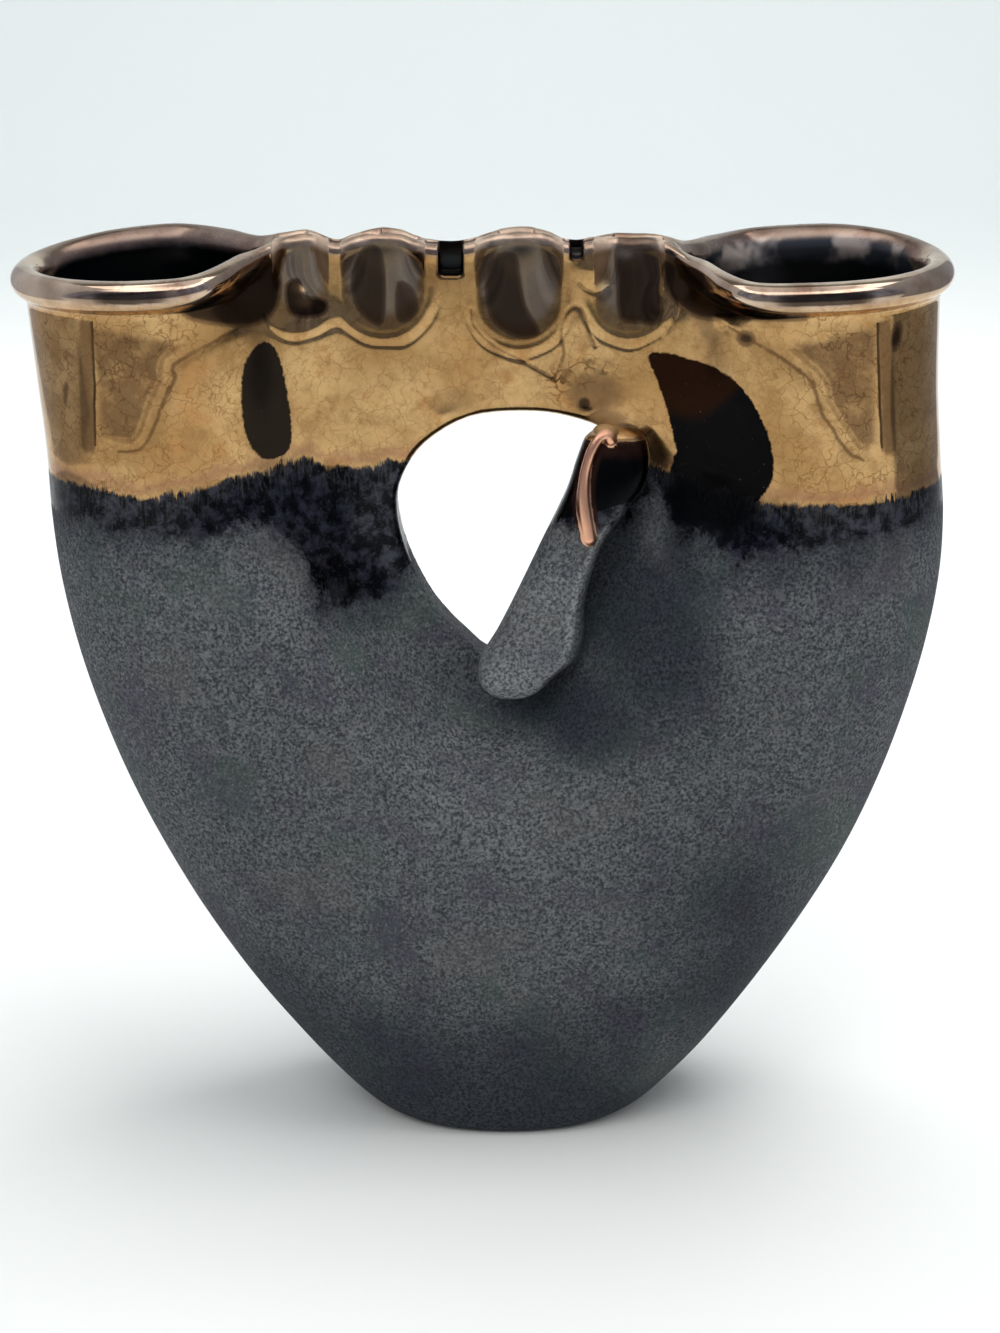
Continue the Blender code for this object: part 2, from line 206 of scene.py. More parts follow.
def reliefs(x, z):
    """How far the front and back faces are pressed in from the thrown form."""
    warp = 0.16 * np.sin(x * 0.085 + z * 0.052 + 0.6) + 0.10 * np.sin(x * 0.151 - z * 0.083 + 2.1)
    bridge = ramp(x, -52, -44) * (1 - ramp(x, 30, 37))
    front = press(x, z, THUMBS) + warp + 0.6 * bridge * ramp(z, 172, 190)
    front = front + hollow(x, z, -11.3, 157.4, 5.8, 3.6, 0.26) + hollow(x, z, 15.2, 156.9, 2.4, 2.4, 0.42)
    front = front - hollow(x, z, 17.0, 160.0, 7.5, 6.5, 0.22) - 0.9 * np.exp(-((x - 16.6) / 2.7) ** 2 - ((z - 184.0) / 3.2) ** 2)
    front = front + 0.014 * (np.sin(1.9 * x + 1.6 * np.sin(1.1 * z)) + np.sin(1.7 * z + 1.4 * np.sin(1.3 * x))) * np.exp(-((x - 16.5) / 6.5) ** 2 - ((z - 163.0) / 3.6) ** 2)
    high = (z > 140) & (z < 195)
    lines = np.zeros(np.shape(x))
    for group, deep, wide in ((CREASES, 0.10, 0.55), (FOLDS, 0.10, 1.3)):
        for line in group:
            lines[high] += deep * np.exp(-(to_line(x[high], z[high], line) / wide) ** 2)
    front = front + lines
    back = press(x, z, FINGERS) - 0.8 * warp + 2.6 * bridge * ramp(z, 168, 190)
    return front, back


def pressed(x, z, window, back=0.0):
    """How far the front and back walls are pressed together: 1 at the web, 0 out on the lobes. The back of the mouths opens out more slowly."""
    high = back * ramp(z, 172, 183)
    reach = np.where(x < 0, reach_left(z) + 12 * high, reach_right(z) + 6 * high)
    out = np.where(x < 0, pinch_left(z) - 2.6 * high + 0.5 * reach - x, x - pinch_right(z) - high + 0.5 * reach)
    to_bridge = np.hypot(np.maximum(out, 0), np.maximum(146 - z, 0))
    near = np.maximum(1 - np.maximum(smin(to_bridge, window * 1.15, 6.0), 0) / reach, 0)
    return near ** 3 * (10 - 15 * near + 6 * near * near)


def sections(x, z):
    """Signed squares of the half depth (faces and hollow, front and back), with the window's distance and the pinch."""
    window = np.full(x.shape, 60.0)
    near = (x > -62) & (x < 60) & (z > 66) & (z < 196)
    window[near] = to_outline(x[near], z[near], window_line)
    p, pb = pressed(x, z, window), pressed(x, z, window, 1.0)
    side = np.where(x > 0, right_at(z), left_at(z))
    b, k, w = depth_at(z), fullness_at(z), wall_at(z)
    u = (x / side) ** 2
    open2 = b * b * (1 - u) * (1 + k * np.minimum(u, 1.2))
    half = np.sqrt(np.maximum(open2, 0))
    front, back = reliefs(x, z)
    fade = ramp(open2, 0, 120)
    push = 0.35 * np.maximum(press(x, z, THUMBS), 0)
    hf = np.maximum(half * (1 - p) + WEB * p - front * fade, 0.3)
    hb = np.maximum(half * (1 - pb) + WEB * pb - (back - push) * fade, 1.5)
    f2, b2 = np.where(open2 > 0, hf * hf, open2), np.where(open2 > 0, hb * hb, open2)
    ui = (x / (side - w)) ** 2
    openi = (b - w) ** 2 * (1 - ui) * (1 + k * np.minimum(ui, 1.2))
    hollows = []
    for q in (p, pb):
        hi = np.sqrt(np.maximum(openi, 0)) * (1 - q) + (WEB - 1.5 * w) * q
        hollows.append(np.where(openi > 0, hi * np.abs(hi), openi))
    return f2, b2, *hollows, window, p, pb


# The sections are worked out once on a fine sheet and read from it with cubic weights.
SHEET_X, SHEET_Z, SHEET_STEP = -108.0, -8.0, 0.25
sheet_x = np.arange(SHEET_X, 102.1, SHEET_STEP)
sheet_z = np.arange(SHEET_Z, 200.1, SHEET_STEP)
f2, b2, i2, j2, window_d, pinch, pinch_back = sections(*(np.ascontiguousarray(a) for a in np.meshgrid(sheet_x, sheet_z, indexing="ij")))
slopes = [sum(g * g for g in np.gradient(t, SHEET_STEP)) for t in (f2, b2, i2, j2)]
SHEET = np.stack([f2, b2, i2, j2, *slopes, window_d, pinch, pinch_back], axis=-1)


def read_sheet(x, z):
    x, z = np.broadcast_arrays(x, z)
    fx = np.clip((x - SHEET_X) / SHEET_STEP, 1, SHEET.shape[0] - 3.001)
    fz = np.clip((z - SHEET_Z) / SHEET_STEP, 1, SHEET.shape[1] - 3.001)
    ix, iz = fx.astype(np.int64), fz.astype(np.int64)
    weights = []
    for t in (fx - ix, fz - iz):
        weights.append((((-0.5 * t + 1.0) * t - 0.5) * t, (1.5 * t - 2.5) * t * t + 1.0,
                        ((-1.5 * t + 2.0) * t + 0.5) * t, (0.5 * t - 0.5) * t * t))
    total = 0.0
    for i in range(4):
        row = 0.0
        for j in range(4):
            row = row + SHEET[ix + i - 1, iz + j - 1] * weights[1][j][..., None]
        total = total + row * weights[0][i][..., None]
    return [total[..., k] for k in range(SHEET.shape[2])]


def vase(x, y, z, parts=False):
    """Signed distance, roughly, to the surface of the whole vase without its flap."""
    f2, b2, i2, j2, gf, gb, gi, gj, window, p, pb = read_sheet(x, z)
    front = y < 0
    turned = ramp(y, -3.0, 3.0)
    i2, gi, p = i2 + (j2 - i2) * turned, gi + (gj - gi) * turned, p + (pb - p) * turned
    y2 = y * y
    d_out = (y2 - np.where(front, f2, b2)) / np.sqrt(4 * y2 + np.maximum(np.where(front, gf, gb), 0) + 0.5)
    d_out = np.maximum(d_out, -9)
    d_in = (y2 - i2) / np.sqrt(4 * y2 + np.maximum(gi, 0) + 0.5)
    d_in = smax(d_in, 8.4 - z, 7.0)
    lip = lip_at(x) + back_lip(x) * ramp(y, -12, 18)
    radius = 3.15 - 1.9 * ramp(p, 0.45, 1.0)
    wall = smax(d_out, -d_in, 0.8)
    wall = smax(wall, z - lip - 0.9, 2.2)
    core = np.hypot(d_out + 0.55 + 1.05 * p * p, z - lip)
    body = smin(wall, core - radius, 1.5)
    # two small recesses between the scallops, open to the front and the top
    pit = smax(smax(np.abs(x + 11.6) - 2.3, 182.8 - z, 1.2), np.abs(y + 6.0) - 5.4, 1.2)
    body = smax(body, -pit, 0.7)
    notch = smax(smax(np.abs(x - 13.4) - 1.2, 186.2 - z, 1.0), np.abs(y + 6.0) - 4.6, 1.0)
    body = smax(body, -notch, 0.6)
    body = smax(body, -window, 3.2)
    body = smax(body, -z, 1.0)
    if parts:
        return body, d_out, d_in, core, p, window
    return body


# Folded flap, in level sections: height, middle x, half width, middle y, half thickness.
FLAP = [(95, 0.4, 4.0, -14.6, 3.4), (98, 0.6, 5.6, -14.6, 4.2), (102, 1.6, 7.9, -14.4, 5.0), (106, 4.4, 9.8, -14.0, 5.3), (111, 6.5, 8.9, -13.4, 5.3), (117, 8.1, 7.4, -12.7, 5.2),
        (124.5, 10.8, 6.5, -11.9, 5.1), (130, 13.2, 6.3, -11.3, 5.0), (136, 16.8, 7.0, -10.6, 4.9), (141, 19.6, 7.6, -10.0, 4.8), (146, 21.0, 7.4, -9.2, 4.4),
        (150, 21.4, 6.3, -8.2, 3.6), (154, 21.4, 4.6, -7.2, 2.8)]
flap_tracks = [spline([(row[0], row[k]) for row in FLAP]) for k in range(1, 5)]
# The copper lip of the flap: a rolled edge from the knot down its window side.
ROLL = [(20.4, -11.6, 150.6), (19.4, -12.0, 151.8), (17.9, -12.6, 151.2), (16.4, -13.5, 148.8), (15.2, -14.1, 144.6), (14.9, -14.6, 140.4), (15.3, -15.0, 136.4), (16.1, -15.4, 131.4)]
roll_tracks = [spline([(i, point[k]) for i, point in enumerate(ROLL)]) for k in range(3)]
roll_line = [tuple(float(track(i / 4)) for track in roll_tracks) for i in range(4 * (len(ROLL) - 1) + 1)]


def to_path(x, y, z, points):
    nearest = 1e9
    for a, b in zip(points, points[1:]):
        d = [q - p for p, q in zip(a, b)]
        f = ((x - a[0]) * d[0] + (y - a[1]) * d[1] + (z - a[2]) * d[2]) / sum(c * c for c in d)
        f = np.clip(f, 0, 1)
        nearest = np.minimum(nearest, (x - a[0] - f * d[0]) ** 2 + (y - a[1] - f * d[1]) ** 2 + (z - a[2] - f * d[2]) ** 2)
    return np.sqrt(nearest)


def flap(x, y, z):
    middle, w, out, t = (track(z) for track in flap_tracks)
    q = (np.abs((x - middle) / w) ** 2.7 + np.abs((y - out) / t) ** 2.7 + 1e-9) ** (1 / 2.7)
    body = (q - 1) * np.minimum(w, t) * 0.9
    body = smax(body, 96.8 - z, 4.0)
    return smax(body, z - 152.5, 3.0)


def flap_and_roll(x, y, z):
    body = smin(flap(x, y, z), to_path(x, y, z, roll_line) - 1.0 - 0.45 * ramp(146 - z, 0, 12), 0.5)
    knot = np.sqrt(((x - 19.2) / 2.4) ** 2 + ((y + 9.6) / 2.6) ** 2 + ((z - 152.0) / 1.5) ** 2) - 1
    return smin(body, knot * 1.9, 0.8)


def wall_under_flap(x, y, z):
    """The vase with the clay drawn up a little where the flap was pressed on to it."""
    return smin(vase(x, y, z), flap(x, y, z) + 1.1, 2.2)


def flap_alone(x, y, z):
    return smax(flap_and_roll(x, y, z), -(vase(x, y, z) + 0.6), 0.2)


# ------------------------------------------------------------------ meshing
def net(field, lo, hi, step):
    """A closed quad mesh of the surface field = 0 inside a box."""
    axes = [np.arange(a - 2.5 * step, b + 2.6 * step, step) for a, b in zip(lo, hi)]
    f = np.array(field(axes[0][:, None, None], axes[1][None, :, None], axes[2][None, None, :]), dtype=np.float64)
    f = np.broadcast_to(f, tuple(len(a) for a in axes)).copy()
    for k in range(3):
        edge = np.moveaxis(f, k, 0)
        edge[0] = np.maximum(edge[0], step)
        edge[-1] = np.maximum(edge[-1], step)
    f[np.abs(f) < 1e-6] = 1e-6
    inside = f < 0
    cells = tuple(n - 1 for n in f.shape)

    def corner(array, o):
        return array[o[0]:o[0] + cells[0], o[1]:o[1] + cells[1], o[2]:o[2] + cells[2]]

    corners = [(i, j, k) for i in (0, 1) for j in (0, 1) for k in (0, 1)]
    total = sum(corner(inside, o).astype(np.int8) for o in corners)
    where = np.nonzero((total > 0) & (total < 8))
    index = np.full(cells, -1, np.int64)
    index[where] = np.arange(len(where[0]))
    spot = np.zeros((len(where[0]), 3))
    count = np.zeros(len(where[0]))
    for a in corners:
        for k in range(3):
            if a[k]:
                continue
            b = tuple(1 if m == k else a[m] for m in range(3))
            fa, fb = (f[where[0] + o[0], where[1] + o[1], where[2] + o[2]] for o in (a, b))
            cross = (fa < 0) != (fb < 0)
            t = np.where(cross, fa / np.where(cross, fa - fb, 1), 0)
            for m in range(3):
                spot[:, m] += np.where(cross, a[m] + (t if m == k else 0), 0)
            count += cross
    spot /= count[:, None]
    points = np.stack([axes[m][0] + (where[m] + spot[:, m]) * step for m in range(3)], axis=1)
    quads = []
    for k in range(3):
        m, n = [(1, 2), (2, 0), (0, 1)][k]
        lower = np.take(inside, range(f.shape[k] - 1), axis=k)
        upper = np.take(inside, range(1, f.shape[k]), axis=k)
        hit = np.nonzero(lower != upper)
        ok = (hit[m] > 0) & (hit[m] < f.shape[m] - 1) & (hit[n] > 0) & (hit[n] < f.shape[n] - 1)
        at = [h[ok] for h in hit]
        ring = []
        for dm, dn in ((-1, -1), (0, -1), (0, 0), (-1, 0)):
            o = [at[0].copy(), at[1].copy(), at[2].copy()]
            o[m] += dm
            o[n] += dn
            ring.append(index[tuple(o)])
        quad = np.stack(ring, axis=1)
        flip = ~lower[tuple(at)]
        quad[flip] = quad[flip][:, ::-1]
        quads.append(quad)
    return points, np.concatenate(quads)


def gradient(field, p, e=0.04):
    out = np.empty_like(p)
    for k in range(3):
        d = np.zeros(3)
        d[k] = e
        out[:, k] = (field(*(p + d).T) - field(*(p - d).T)) / (2 * e)
    return out


def on_surface(field, p, step, rounds=2):
    """The points moved on to the surface along its slope."""
    start = p.copy()
    for _ in range(rounds):
        g = gradient(field, p)
        move = -field(*p.T)[:, None] * g / np.maximum((g * g).sum(1), 0.05)[:, None]
        size = np.linalg.norm(move, axis=1, keepdims=True)
        p = p + move * np.minimum(1, 0.5 * step / np.maximum(size, 1e-9))
    far = np.linalg.norm(p - start, axis=1) > 1.2 * step
    p[far] = start[far]
    return p


def box_mesh(name, lo, hi):
    bm = bmesh.new()
    bmesh.ops.create_cube(bm, size=1)
    for v in bm.verts:
        v.co = [(a + (c + 0.5) * (b - a)) * MM for a, b, c in zip(lo, hi, v.co)]
    mesh = bpy.data.meshes.new(name)
    bm.to_mesh(mesh)
    bm.free()
    return bpy.data.objects.new(name, mesh)


def piece(node, field, lo, hi, step, keep=None, cut=None):
    """One closed piece of the vase: the surface inside a box, parted by planes from its neighbours."""
    name = node + "_fired"
    points, quads = net(field, lo, hi, step)
    points = on_surface(field, points, step)
    mesh = bpy.data.meshes.new(name)
    mesh.from_pydata((points * MM).tolist(), [], quads.tolist())
    mesh.update()
    obj = bpy.data.objects.new(name, mesh)
    scene.collection.objects.link(obj)
    helpers = []
    for kind, region in (("INTERSECT", keep), ("DIFFERENCE", cut)):
        if region:
            helper = box_mesh(name + "_" + kind.lower(), *region)
            scene.collection.objects.link(helper)
            helpers.append(helper)
            modifier = obj.modifiers.new(kind, "BOOLEAN")
            modifier.operation, modifier.object, modifier.solver = kind, helper, "MANIFOLD"
    if helpers:
        bpy.context.view_layer.update()
        cut_mesh = bpy.data.meshes.new_from_object(obj.evaluated_get(bpy.context.evaluated_depsgraph_get()))
        obj.modifiers.clear()
        obj.data = cut_mesh
        bpy.data.meshes.remove(mesh)
        mesh = cut_mesh
        for helper in helpers:
            bpy.data.objects.remove(helper, do_unlink=True)
    mesh.name = name
    bm = bmesh.new()
    bm.from_mesh(mesh)
    bmesh.ops.dissolve_degenerate(bm, dist=1e-7, edges=bm.edges[:])
    bm.to_mesh(mesh)
    bm.free()
    mesh.shade_smooth()
    co = np.empty(len(mesh.vertices) * 3)
    mesh.vertices.foreach_get("co", co)
    co = co.reshape(-1, 3) / MM
    normal = gradient(field, co)
    normal /= np.maximum(np.linalg.norm(normal, axis=1, keepdims=True), 1e-9)
    face_n = np.empty(len(mesh.polygons) * 3)
    mesh.polygons.foreach_get("normal", face_n)
    face_n = face_n.reshape(-1, 3)
    loop_v = np.empty(len(mesh.loops), np.int32)
    mesh.loops.foreach_get("vertex_index", loop_v)
    size = np.empty(len(mesh.polygons), np.int32)
    mesh.polygons.foreach_get("loop_total", size)
    loop_f = np.repeat(np.arange(len(size)), size)
    n = normal[loop_v]
    off = (n * face_n[loop_f]).sum(1) < 0.5
    n[off] = face_n[loop_f][off]
    mesh.normals_split_custom_set(n.tolist())
    return obj, co


FAR = 130.0
made = {}
SHELL = wall_under_flap
made["foot_base"] = piece("foot_base", SHELL, (-42, -27, 0), (42, 27, FOOT_TOP), 1.0, keep=((-FAR, -FAR, -5), (FAR, FAR, FOOT_TOP)))
made["belly_wall"] = piece("belly_wall", SHELL, (-92, -33, FOOT_TOP), (89, 33, BELLY_TOP), 1.25, keep=((-FAR, -FAR, FOOT_TOP), (FAR, FAR, BELLY_TOP)))
made["left_arm_wall"] = piece("left_arm_wall", SHELL, (-96, -33, BELLY_TOP), (-1, 33, ARM_TOP), 1.0, keep=((-FAR, -FAR, BELLY_TOP), (-2, FAR, ARM_TOP)))
made["right_arm_wall"] = piece("right_arm_wall", SHELL, (-3, -33, BELLY_TOP), (91, 33, ARM_TOP), 1.0, keep=((-2, -FAR, BELLY_TOP), (FAR, FAR, ARM_TOP)))
made["left_neck_wall"] = piece("left_neck_wall", SHELL, (-100, -30, ARM_TOP), (-1, 30, NECK_TOP), 0.8, keep=((-FAR, -FAR, ARM_TOP), (-2, FAR, NECK_TOP)),
                               cut=((BRIDGE_LEFT, -FAR, BRIDGE_FOOT), (0, FAR, 220)))
made["right_neck_wall"] = piece("right_neck_wall", SHELL, (-3, -30, ARM_TOP), (91, 30, NECK_TOP), 0.8, keep=((-2, -FAR, ARM_TOP), (FAR, FAR, NECK_TOP)),
                                cut=((-5, -FAR, BRIDGE_FOOT), (BRIDGE_RIGHT, FAR, 220)))
made["left_rim_roll"] = piece("left_rim_roll", SHELL, (-101, -30, NECK_TOP), (BRIDGE_LEFT, 30, 193), 0.5, keep=((-FAR, -FAR, NECK_TOP), (BRIDGE_LEFT, FAR, 220)))
made["right_rim_roll"] = piece("right_rim_roll", SHELL, (BRIDGE_RIGHT, -30, NECK_TOP), (92, 30, 193), 0.5, keep=((BRIDGE_RIGHT, -FAR, NECK_TOP), (FAR, FAR, 220)))
made["pinched_bridge"] = piece("pinched_bridge", SHELL, (BRIDGE_LEFT, -24, BRIDGE_FOOT), (BRIDGE_RIGHT, 24, 193), 0.42,
                               keep=((BRIDGE_LEFT, -FAR, BRIDGE_FOOT), (BRIDGE_RIGHT, FAR, 220)))
made["folded_flap"] = piece("folded_flap", flap_alone, (-12, -22, 92), (34, 2, 155), 0.45)


# ------------------------------------------------------------------ finishes
class Tree:
    """Small helpers to write a node tree in one line per node."""

    def __init__(self, tree):
        self.tree = tree

    def node(self, kind, **settings):
        n = self.tree.nodes.new(kind)
        for key, value in settings.items():
            setattr(n, key, value)
        return n

    def put(self, socket, value):
        if isinstance(value, bpy.types.NodeSocket):
            self.tree.links.new(value, socket)
        elif value is not None:
            socket.default_value = value

    def math(self, op, a, b=None, clamp=False):
        n = self.node("ShaderNodeMath", operation=op, use_clamp=clamp)
        self.put(n.inputs[0], a)
        self.put(n.inputs[1], b)
        return n.outputs[0]

    def ramp(self, value, lo, hi, to_lo=0.0, to_hi=1.0):
        n = self.node("ShaderNodeMapRange", interpolation_type="SMOOTHSTEP")
        self.put(n.inputs["Value"], value)
        for key, v in (("From Min", lo), ("From Max", hi), ("To Min", to_lo), ("To Max", to_hi)):
            self.put(n.inputs[key], v)
        return n.outputs["Result"]

    def noise(self, vector, scale, detail=2.0, rough=0.5, stretch=None, distortion=0.0):
        if stretch:
            m = self.node("ShaderNodeVectorMath", operation="MULTIPLY")
            self.put(m.inputs[0], vector)
            m.inputs[1].default_value = stretch
            vector = m.outputs[0]
        n = self.node("ShaderNodeTexNoise")
        self.put(n.inputs["Vector"], vector)
        self.put(n.inputs["Scale"], scale)
        self.put(n.inputs["Detail"], detail)
        self.put(n.inputs["Roughness"], rough)
        self.put(n.inputs["Distortion"], distortion)
        return n.outputs["Fac"]

    def mix(self, fac, a, b):
        n = self.node("ShaderNodeMix", data_type="RGBA")
        self.put(n.inputs["Factor"], fac)
        self.put(n.inputs[6], a)
        self.put(n.inputs[7], b)
        return n.outputs[2]

    def blend(self, fac, a, b):
        n = self.node("ShaderNodeMix", data_type="FLOAT")
        self.put(n.inputs["Factor"], fac)
        self.put(n.inputs[2], a)
        self.put(n.inputs[3], b)
        return n.outputs[0]


def rgb(r, g, b):
    """A colour from its 0 to 255 screen values."""
    return tuple((c / 255 / 12.92 if c <= 10 else ((c / 255 + 0.055) / 1.055) ** 2.4) for c in (r, g, b)) + (1.0,)


def glazed_clay(name):
    mat = bpy.data.materials.new(name)
    mat.use_nodes = True
    t = Tree(mat.node_tree)
    bsdf = mat.node_tree.nodes["Principled BSDF"]
    coords = t.node("ShaderNodeTexCoord").outputs["Object"]

    def amount(key):
        return t.node("ShaderNodeAttribute", attribute_name=key).outputs["Fac"]

    bronze_height, black_height, inside, lip, roll, depth_in, dark_reflection, brown_reflection_shade, fold, panel, crease, reflected_line, painted_shade_and_reflection, rumple, scoop, wall, painted_shading = (
        amount(k) for k in ("bronze_height", "black_height", "inside", "lip", "roll", "depth_in", "dark_reflection", "brown_reflection_shade", "fold", "panel", "crease", "reflected_line", "painted_shade_and_reflection", "rumple", "scoop", "wall", "painted_shading"))
    place = t.node("ShaderNodeSeparateXYZ")
    t.put(place.inputs[0], coords)
    right = t.ramp(place.outputs["X"], -0.01, 0.01)

    # the bronze ends in a fringe of fine vertical hairs
    hairs = t.noise(coords, 1.0, 3.0, 0.72, stretch=(1150, 1150, 120))
    clumps = t.noise(coords, 240.0, 3.0, 0.6)
    edge = t.math("ADD", bronze_height, t.math("MULTIPLY", t.math("SUBTRACT", hairs, 0.5), t.ramp(t.noise(coords, 95.0, 2.0), 0.38, 0.62, 1.2, 6.0)))
    edge = t.math("ADD", edge, t.math("MULTIPLY", t.math("SUBTRACT", clumps, 0.5), 4.0))
    gold = t.ramp(edge, -0.5, 0.5)
    # below it the glaze is thin and black, with grey hairs close under the bronze, and then gone
    patches = t.noise(coords, 140.0, 5.0, 0.66)
    streaks = t.noise(coords, 1.0, 4.0, 0.66, stretch=(800, 800, 200))
    fleck = t.noise(coords, 1250.0, 2.0, 0.6)
    thin = t.math("ADD", black_height, t.math("MULTIPLY", t.math("SUBTRACT", patches, 0.5), 14.0))
    thin = t.math("ADD", thin, t.math("MULTIPLY", t.math("SUBTRACT", streaks, 0.5), 6.0))
    thin = t.math("ADD", thin, t.math("MULTIPLY", t.math("SUBTRACT", fleck, 0.5), 5.0))
    # painted reflection: the dark reflected patches beside the bridge, also spread into the black glaze below them
    deep = t.ramp(t.math("ADD", dark_reflection, t.math("MULTIPLY", t.math("SUBTRACT", t.noise(coords, 900.0, 4.0, 0.7), 0.5), 1.3)), -0.2, 0.2)
    dark_reflection_in_black = t.ramp(t.math("ADD", dark_reflection, t.math("MULTIPLY", t.math("SUBTRACT", patches, 0.5), 9.0)), -2.4, 2.4)
    black = t.math("MAXIMUM", t.ramp(thin, -2.2, 2.2), t.math("MULTIPLY", dark_reflection_in_black, t.ramp(thin, -3.2, 0.4)))

    # smoked clay: sandy grain, faint turning lines, clouds of smoke in green, violet and warm greys
    grain = t.noise(coords, 1500.0, 3.0, 0.66)
    cloud = t.noise(coords, 34.0, 4.0, 0.6)
    turning = t.noise(coords, 1.0, 3.0, 0.6, stretch=(60, 60, 620))
    speck = t.ramp(t.noise(coords, 1250.0, 1.0, 0.5), 0.60, 0.72)
    clay = t.mix(t.ramp(grain, 0.35, 0.65), rgb(38, 41, 44), rgb(109, 111, 114))
    clay = t.mix(t.math("MULTIPLY", t.ramp(t.noise(coords, 420.0, 3.0, 0.6), 0.42, 0.68), 0.34), clay, rgb(52, 56, 62))
    clay = t.mix(t.math("MULTIPLY", t.ramp(turning, 0.50, 0.70), 0.25), clay, rgb(54, 57, 62))
    clay = t.mix(t.math("MULTIPLY", t.ramp(t.noise(coords, 52.0, 4.0, 0.6), 0.50, 0.66), 0.52), clay, rgb(62, 78, 72))
    clay = t.mix(t.math("MULTIPLY", t.ramp(t.noise(coords, 71.0, 4.0, 0.6), 0.51, 0.68), 0.52), clay, rgb(62, 58, 74))
    clay = t.mix(t.math("MULTIPLY", t.ramp(t.noise(coords, 43.0, 4.0, 0.6), 0.52, 0.68), 0.28), clay, rgb(96, 93, 91))
    clay = t.mix(t.math("MULTIPLY", speck, 0.42), clay, rgb(132, 134, 137))
    # painted shade and light on the clay, mixed with random smoke clouds and with darker clay just below the black
    # glaze
    smoke_and_painted_shading = t.math("ADD", painted_shading, t.math("MULTIPLY", t.math("SUBTRACT", cloud, 0.5), 0.8))
    smoke_and_painted_shading = t.math("ADD", smoke_and_painted_shading, t.math("MULTIPLY", t.ramp(thin, -11.0, -1.0), 0.45))
    clay = t.mix(t.ramp(smoke_and_painted_shading, 0.0, 1.0, 0.0, 0.8), clay, t.mix(t.ramp(grain, 0.35, 0.65), rgb(6, 10, 17), rgb(30, 38, 49)))
    # painted light: the clay paler where the painted shading goes below zero
    pale = t.mix(t.ramp(grain, 0.35, 0.65), rgb(84, 87, 91), rgb(164, 167, 170))
    clay = t.mix(t.ramp(smoke_and_painted_shading, -1.0, 0.0, 0.62, 0.0), clay, pale)

    # crazed bronze: two sizes of fine cells, warmer and duller clouds
    wobble = t.node("ShaderNodeVectorMath", operation="ADD")
    t.put(wobble.inputs[0], coords)
    push = t.node("ShaderNodeTexNoise")
    t.put(push.inputs["Vector"], coords)
    push.inputs["Scale"].default_value = 300.0
    push.inputs["Detail"].default_value = 3.0
    small = t.node("ShaderNodeVectorMath", operation="SCALE")
    t.put(small.inputs[0], push.outputs["Color"])
    small.inputs["Scale"].default_value = 0.005
    t.put(wobble.inputs[1], small.outputs[0])

    def cracks(scale, width, lo, hi, where):
        cells = t.node("ShaderNodeTexVoronoi", feature="DISTANCE_TO_EDGE")
        t.put(cells.inputs["Vector"], wobble.outputs[0])
        cells.inputs["Scale"].default_value = scale
        lines = t.ramp(cells.outputs["Distance"], 0.0, width, 1.0, 0.0)
        return t.math("MULTIPLY", lines, t.ramp(t.noise(coords, where, 3.0), lo, hi))

    craze = t.math("MAXIMUM", cracks(290.0, 0.055, 0.28, 0.52, 120.0), t.math("MULTIPLY", cracks(560.0, 0.08, 0.38, 0.62, 170.0), 0.55))
    mottled = t.noise(coords, 75.0, 5.0, 0.62)
    warm = t.noise(coords, 150.0, 5.0, 0.66)
    stain = t.ramp(t.noise(coords, 900.0, 3.0, 0.6), 0.60, 0.75)
    bronze = t.mix(t.ramp(mottled, 0.36, 0.64), rgb(168, 131, 84), rgb(204, 168, 117))
    bronze = t.mix(t.math("MULTIPLY", t.ramp(warm, 0.48, 0.70), 0.75), bronze, rgb(172, 124, 74))
    bronze = t.mix(t.math("MULTIPLY", t.ramp(t.noise(coords, 330.0, 4.0, 0.6), 0.55, 0.75), 0.45), bronze, rgb(150, 112, 70))
    bronze = t.mix(t.math("MULTIPLY", stain, 0.35), bronze, rgb(124, 92, 58))
    lobes = t.ramp(t.math("ABSOLUTE", place.outputs["X"]), 0.044, 0.062, 0.42, 0.72)
    bronze = t.mix(t.math("MULTIPLY", craze, lobes), bronze, rgb(122, 85, 50))
    bronze = t.mix(t.math("MULTIPLY", t.math("MULTIPLY", cracks(330.0, 0.13, 0.36, 0.54, 300.0), rumple), 0.9), bronze, rgb(86, 60, 38))
    stray = t.math("MULTIPLY", t.math("SUBTRACT", t.noise(coords, 260.0, 4.0, 0.65), 0.5), 3.0)
    near = t.math("ABSOLUTE", t.math("ADD", fold, t.math("MULTIPLY", stray, 0.5)))
    bronze = t.mix(t.math("MULTIPLY", t.ramp(t.noise(coords, 210.0, 5.0, 0.7), 0.46, 0.64), 0.42), bronze, rgb(142, 105, 66))
    # painted shade along the folds: a broken dark line in each, a second line beside the panel edge, and a faint wider
    # band
    gaps = t.ramp(t.noise(coords, 190.0, 3.0, 0.6), 0.30, 0.50, 0.72, 1.0)
    fold_shade = t.math("MULTIPLY", t.ramp(near, 0.08, 0.80, 1.0, 0.0), gaps)
    ridge = t.ramp(t.math("ABSOLUTE", fold), 2.8, 4.2, 1.0, 0.0)
    beside = t.ramp(t.math("ABSOLUTE", t.math("ADD", panel, t.math("ADD", t.math("MULTIPLY", stray, 0.5), 2.3))), 0.15, 0.75, 0.6, 0.0)
    fold_shade = t.math("MAXIMUM", fold_shade, t.math("MULTIPLY", t.math("MULTIPLY", beside, ridge), gaps))
    fold_shade = t.math("MAXIMUM", fold_shade, t.math("MULTIPLY", t.ramp(near, 0.6, 2.6, 1.0, 0.0), 0.25))
    bronze = t.mix(t.math("MULTIPLY", fold_shade, 0.74), bronze, rgb(82, 56, 34))
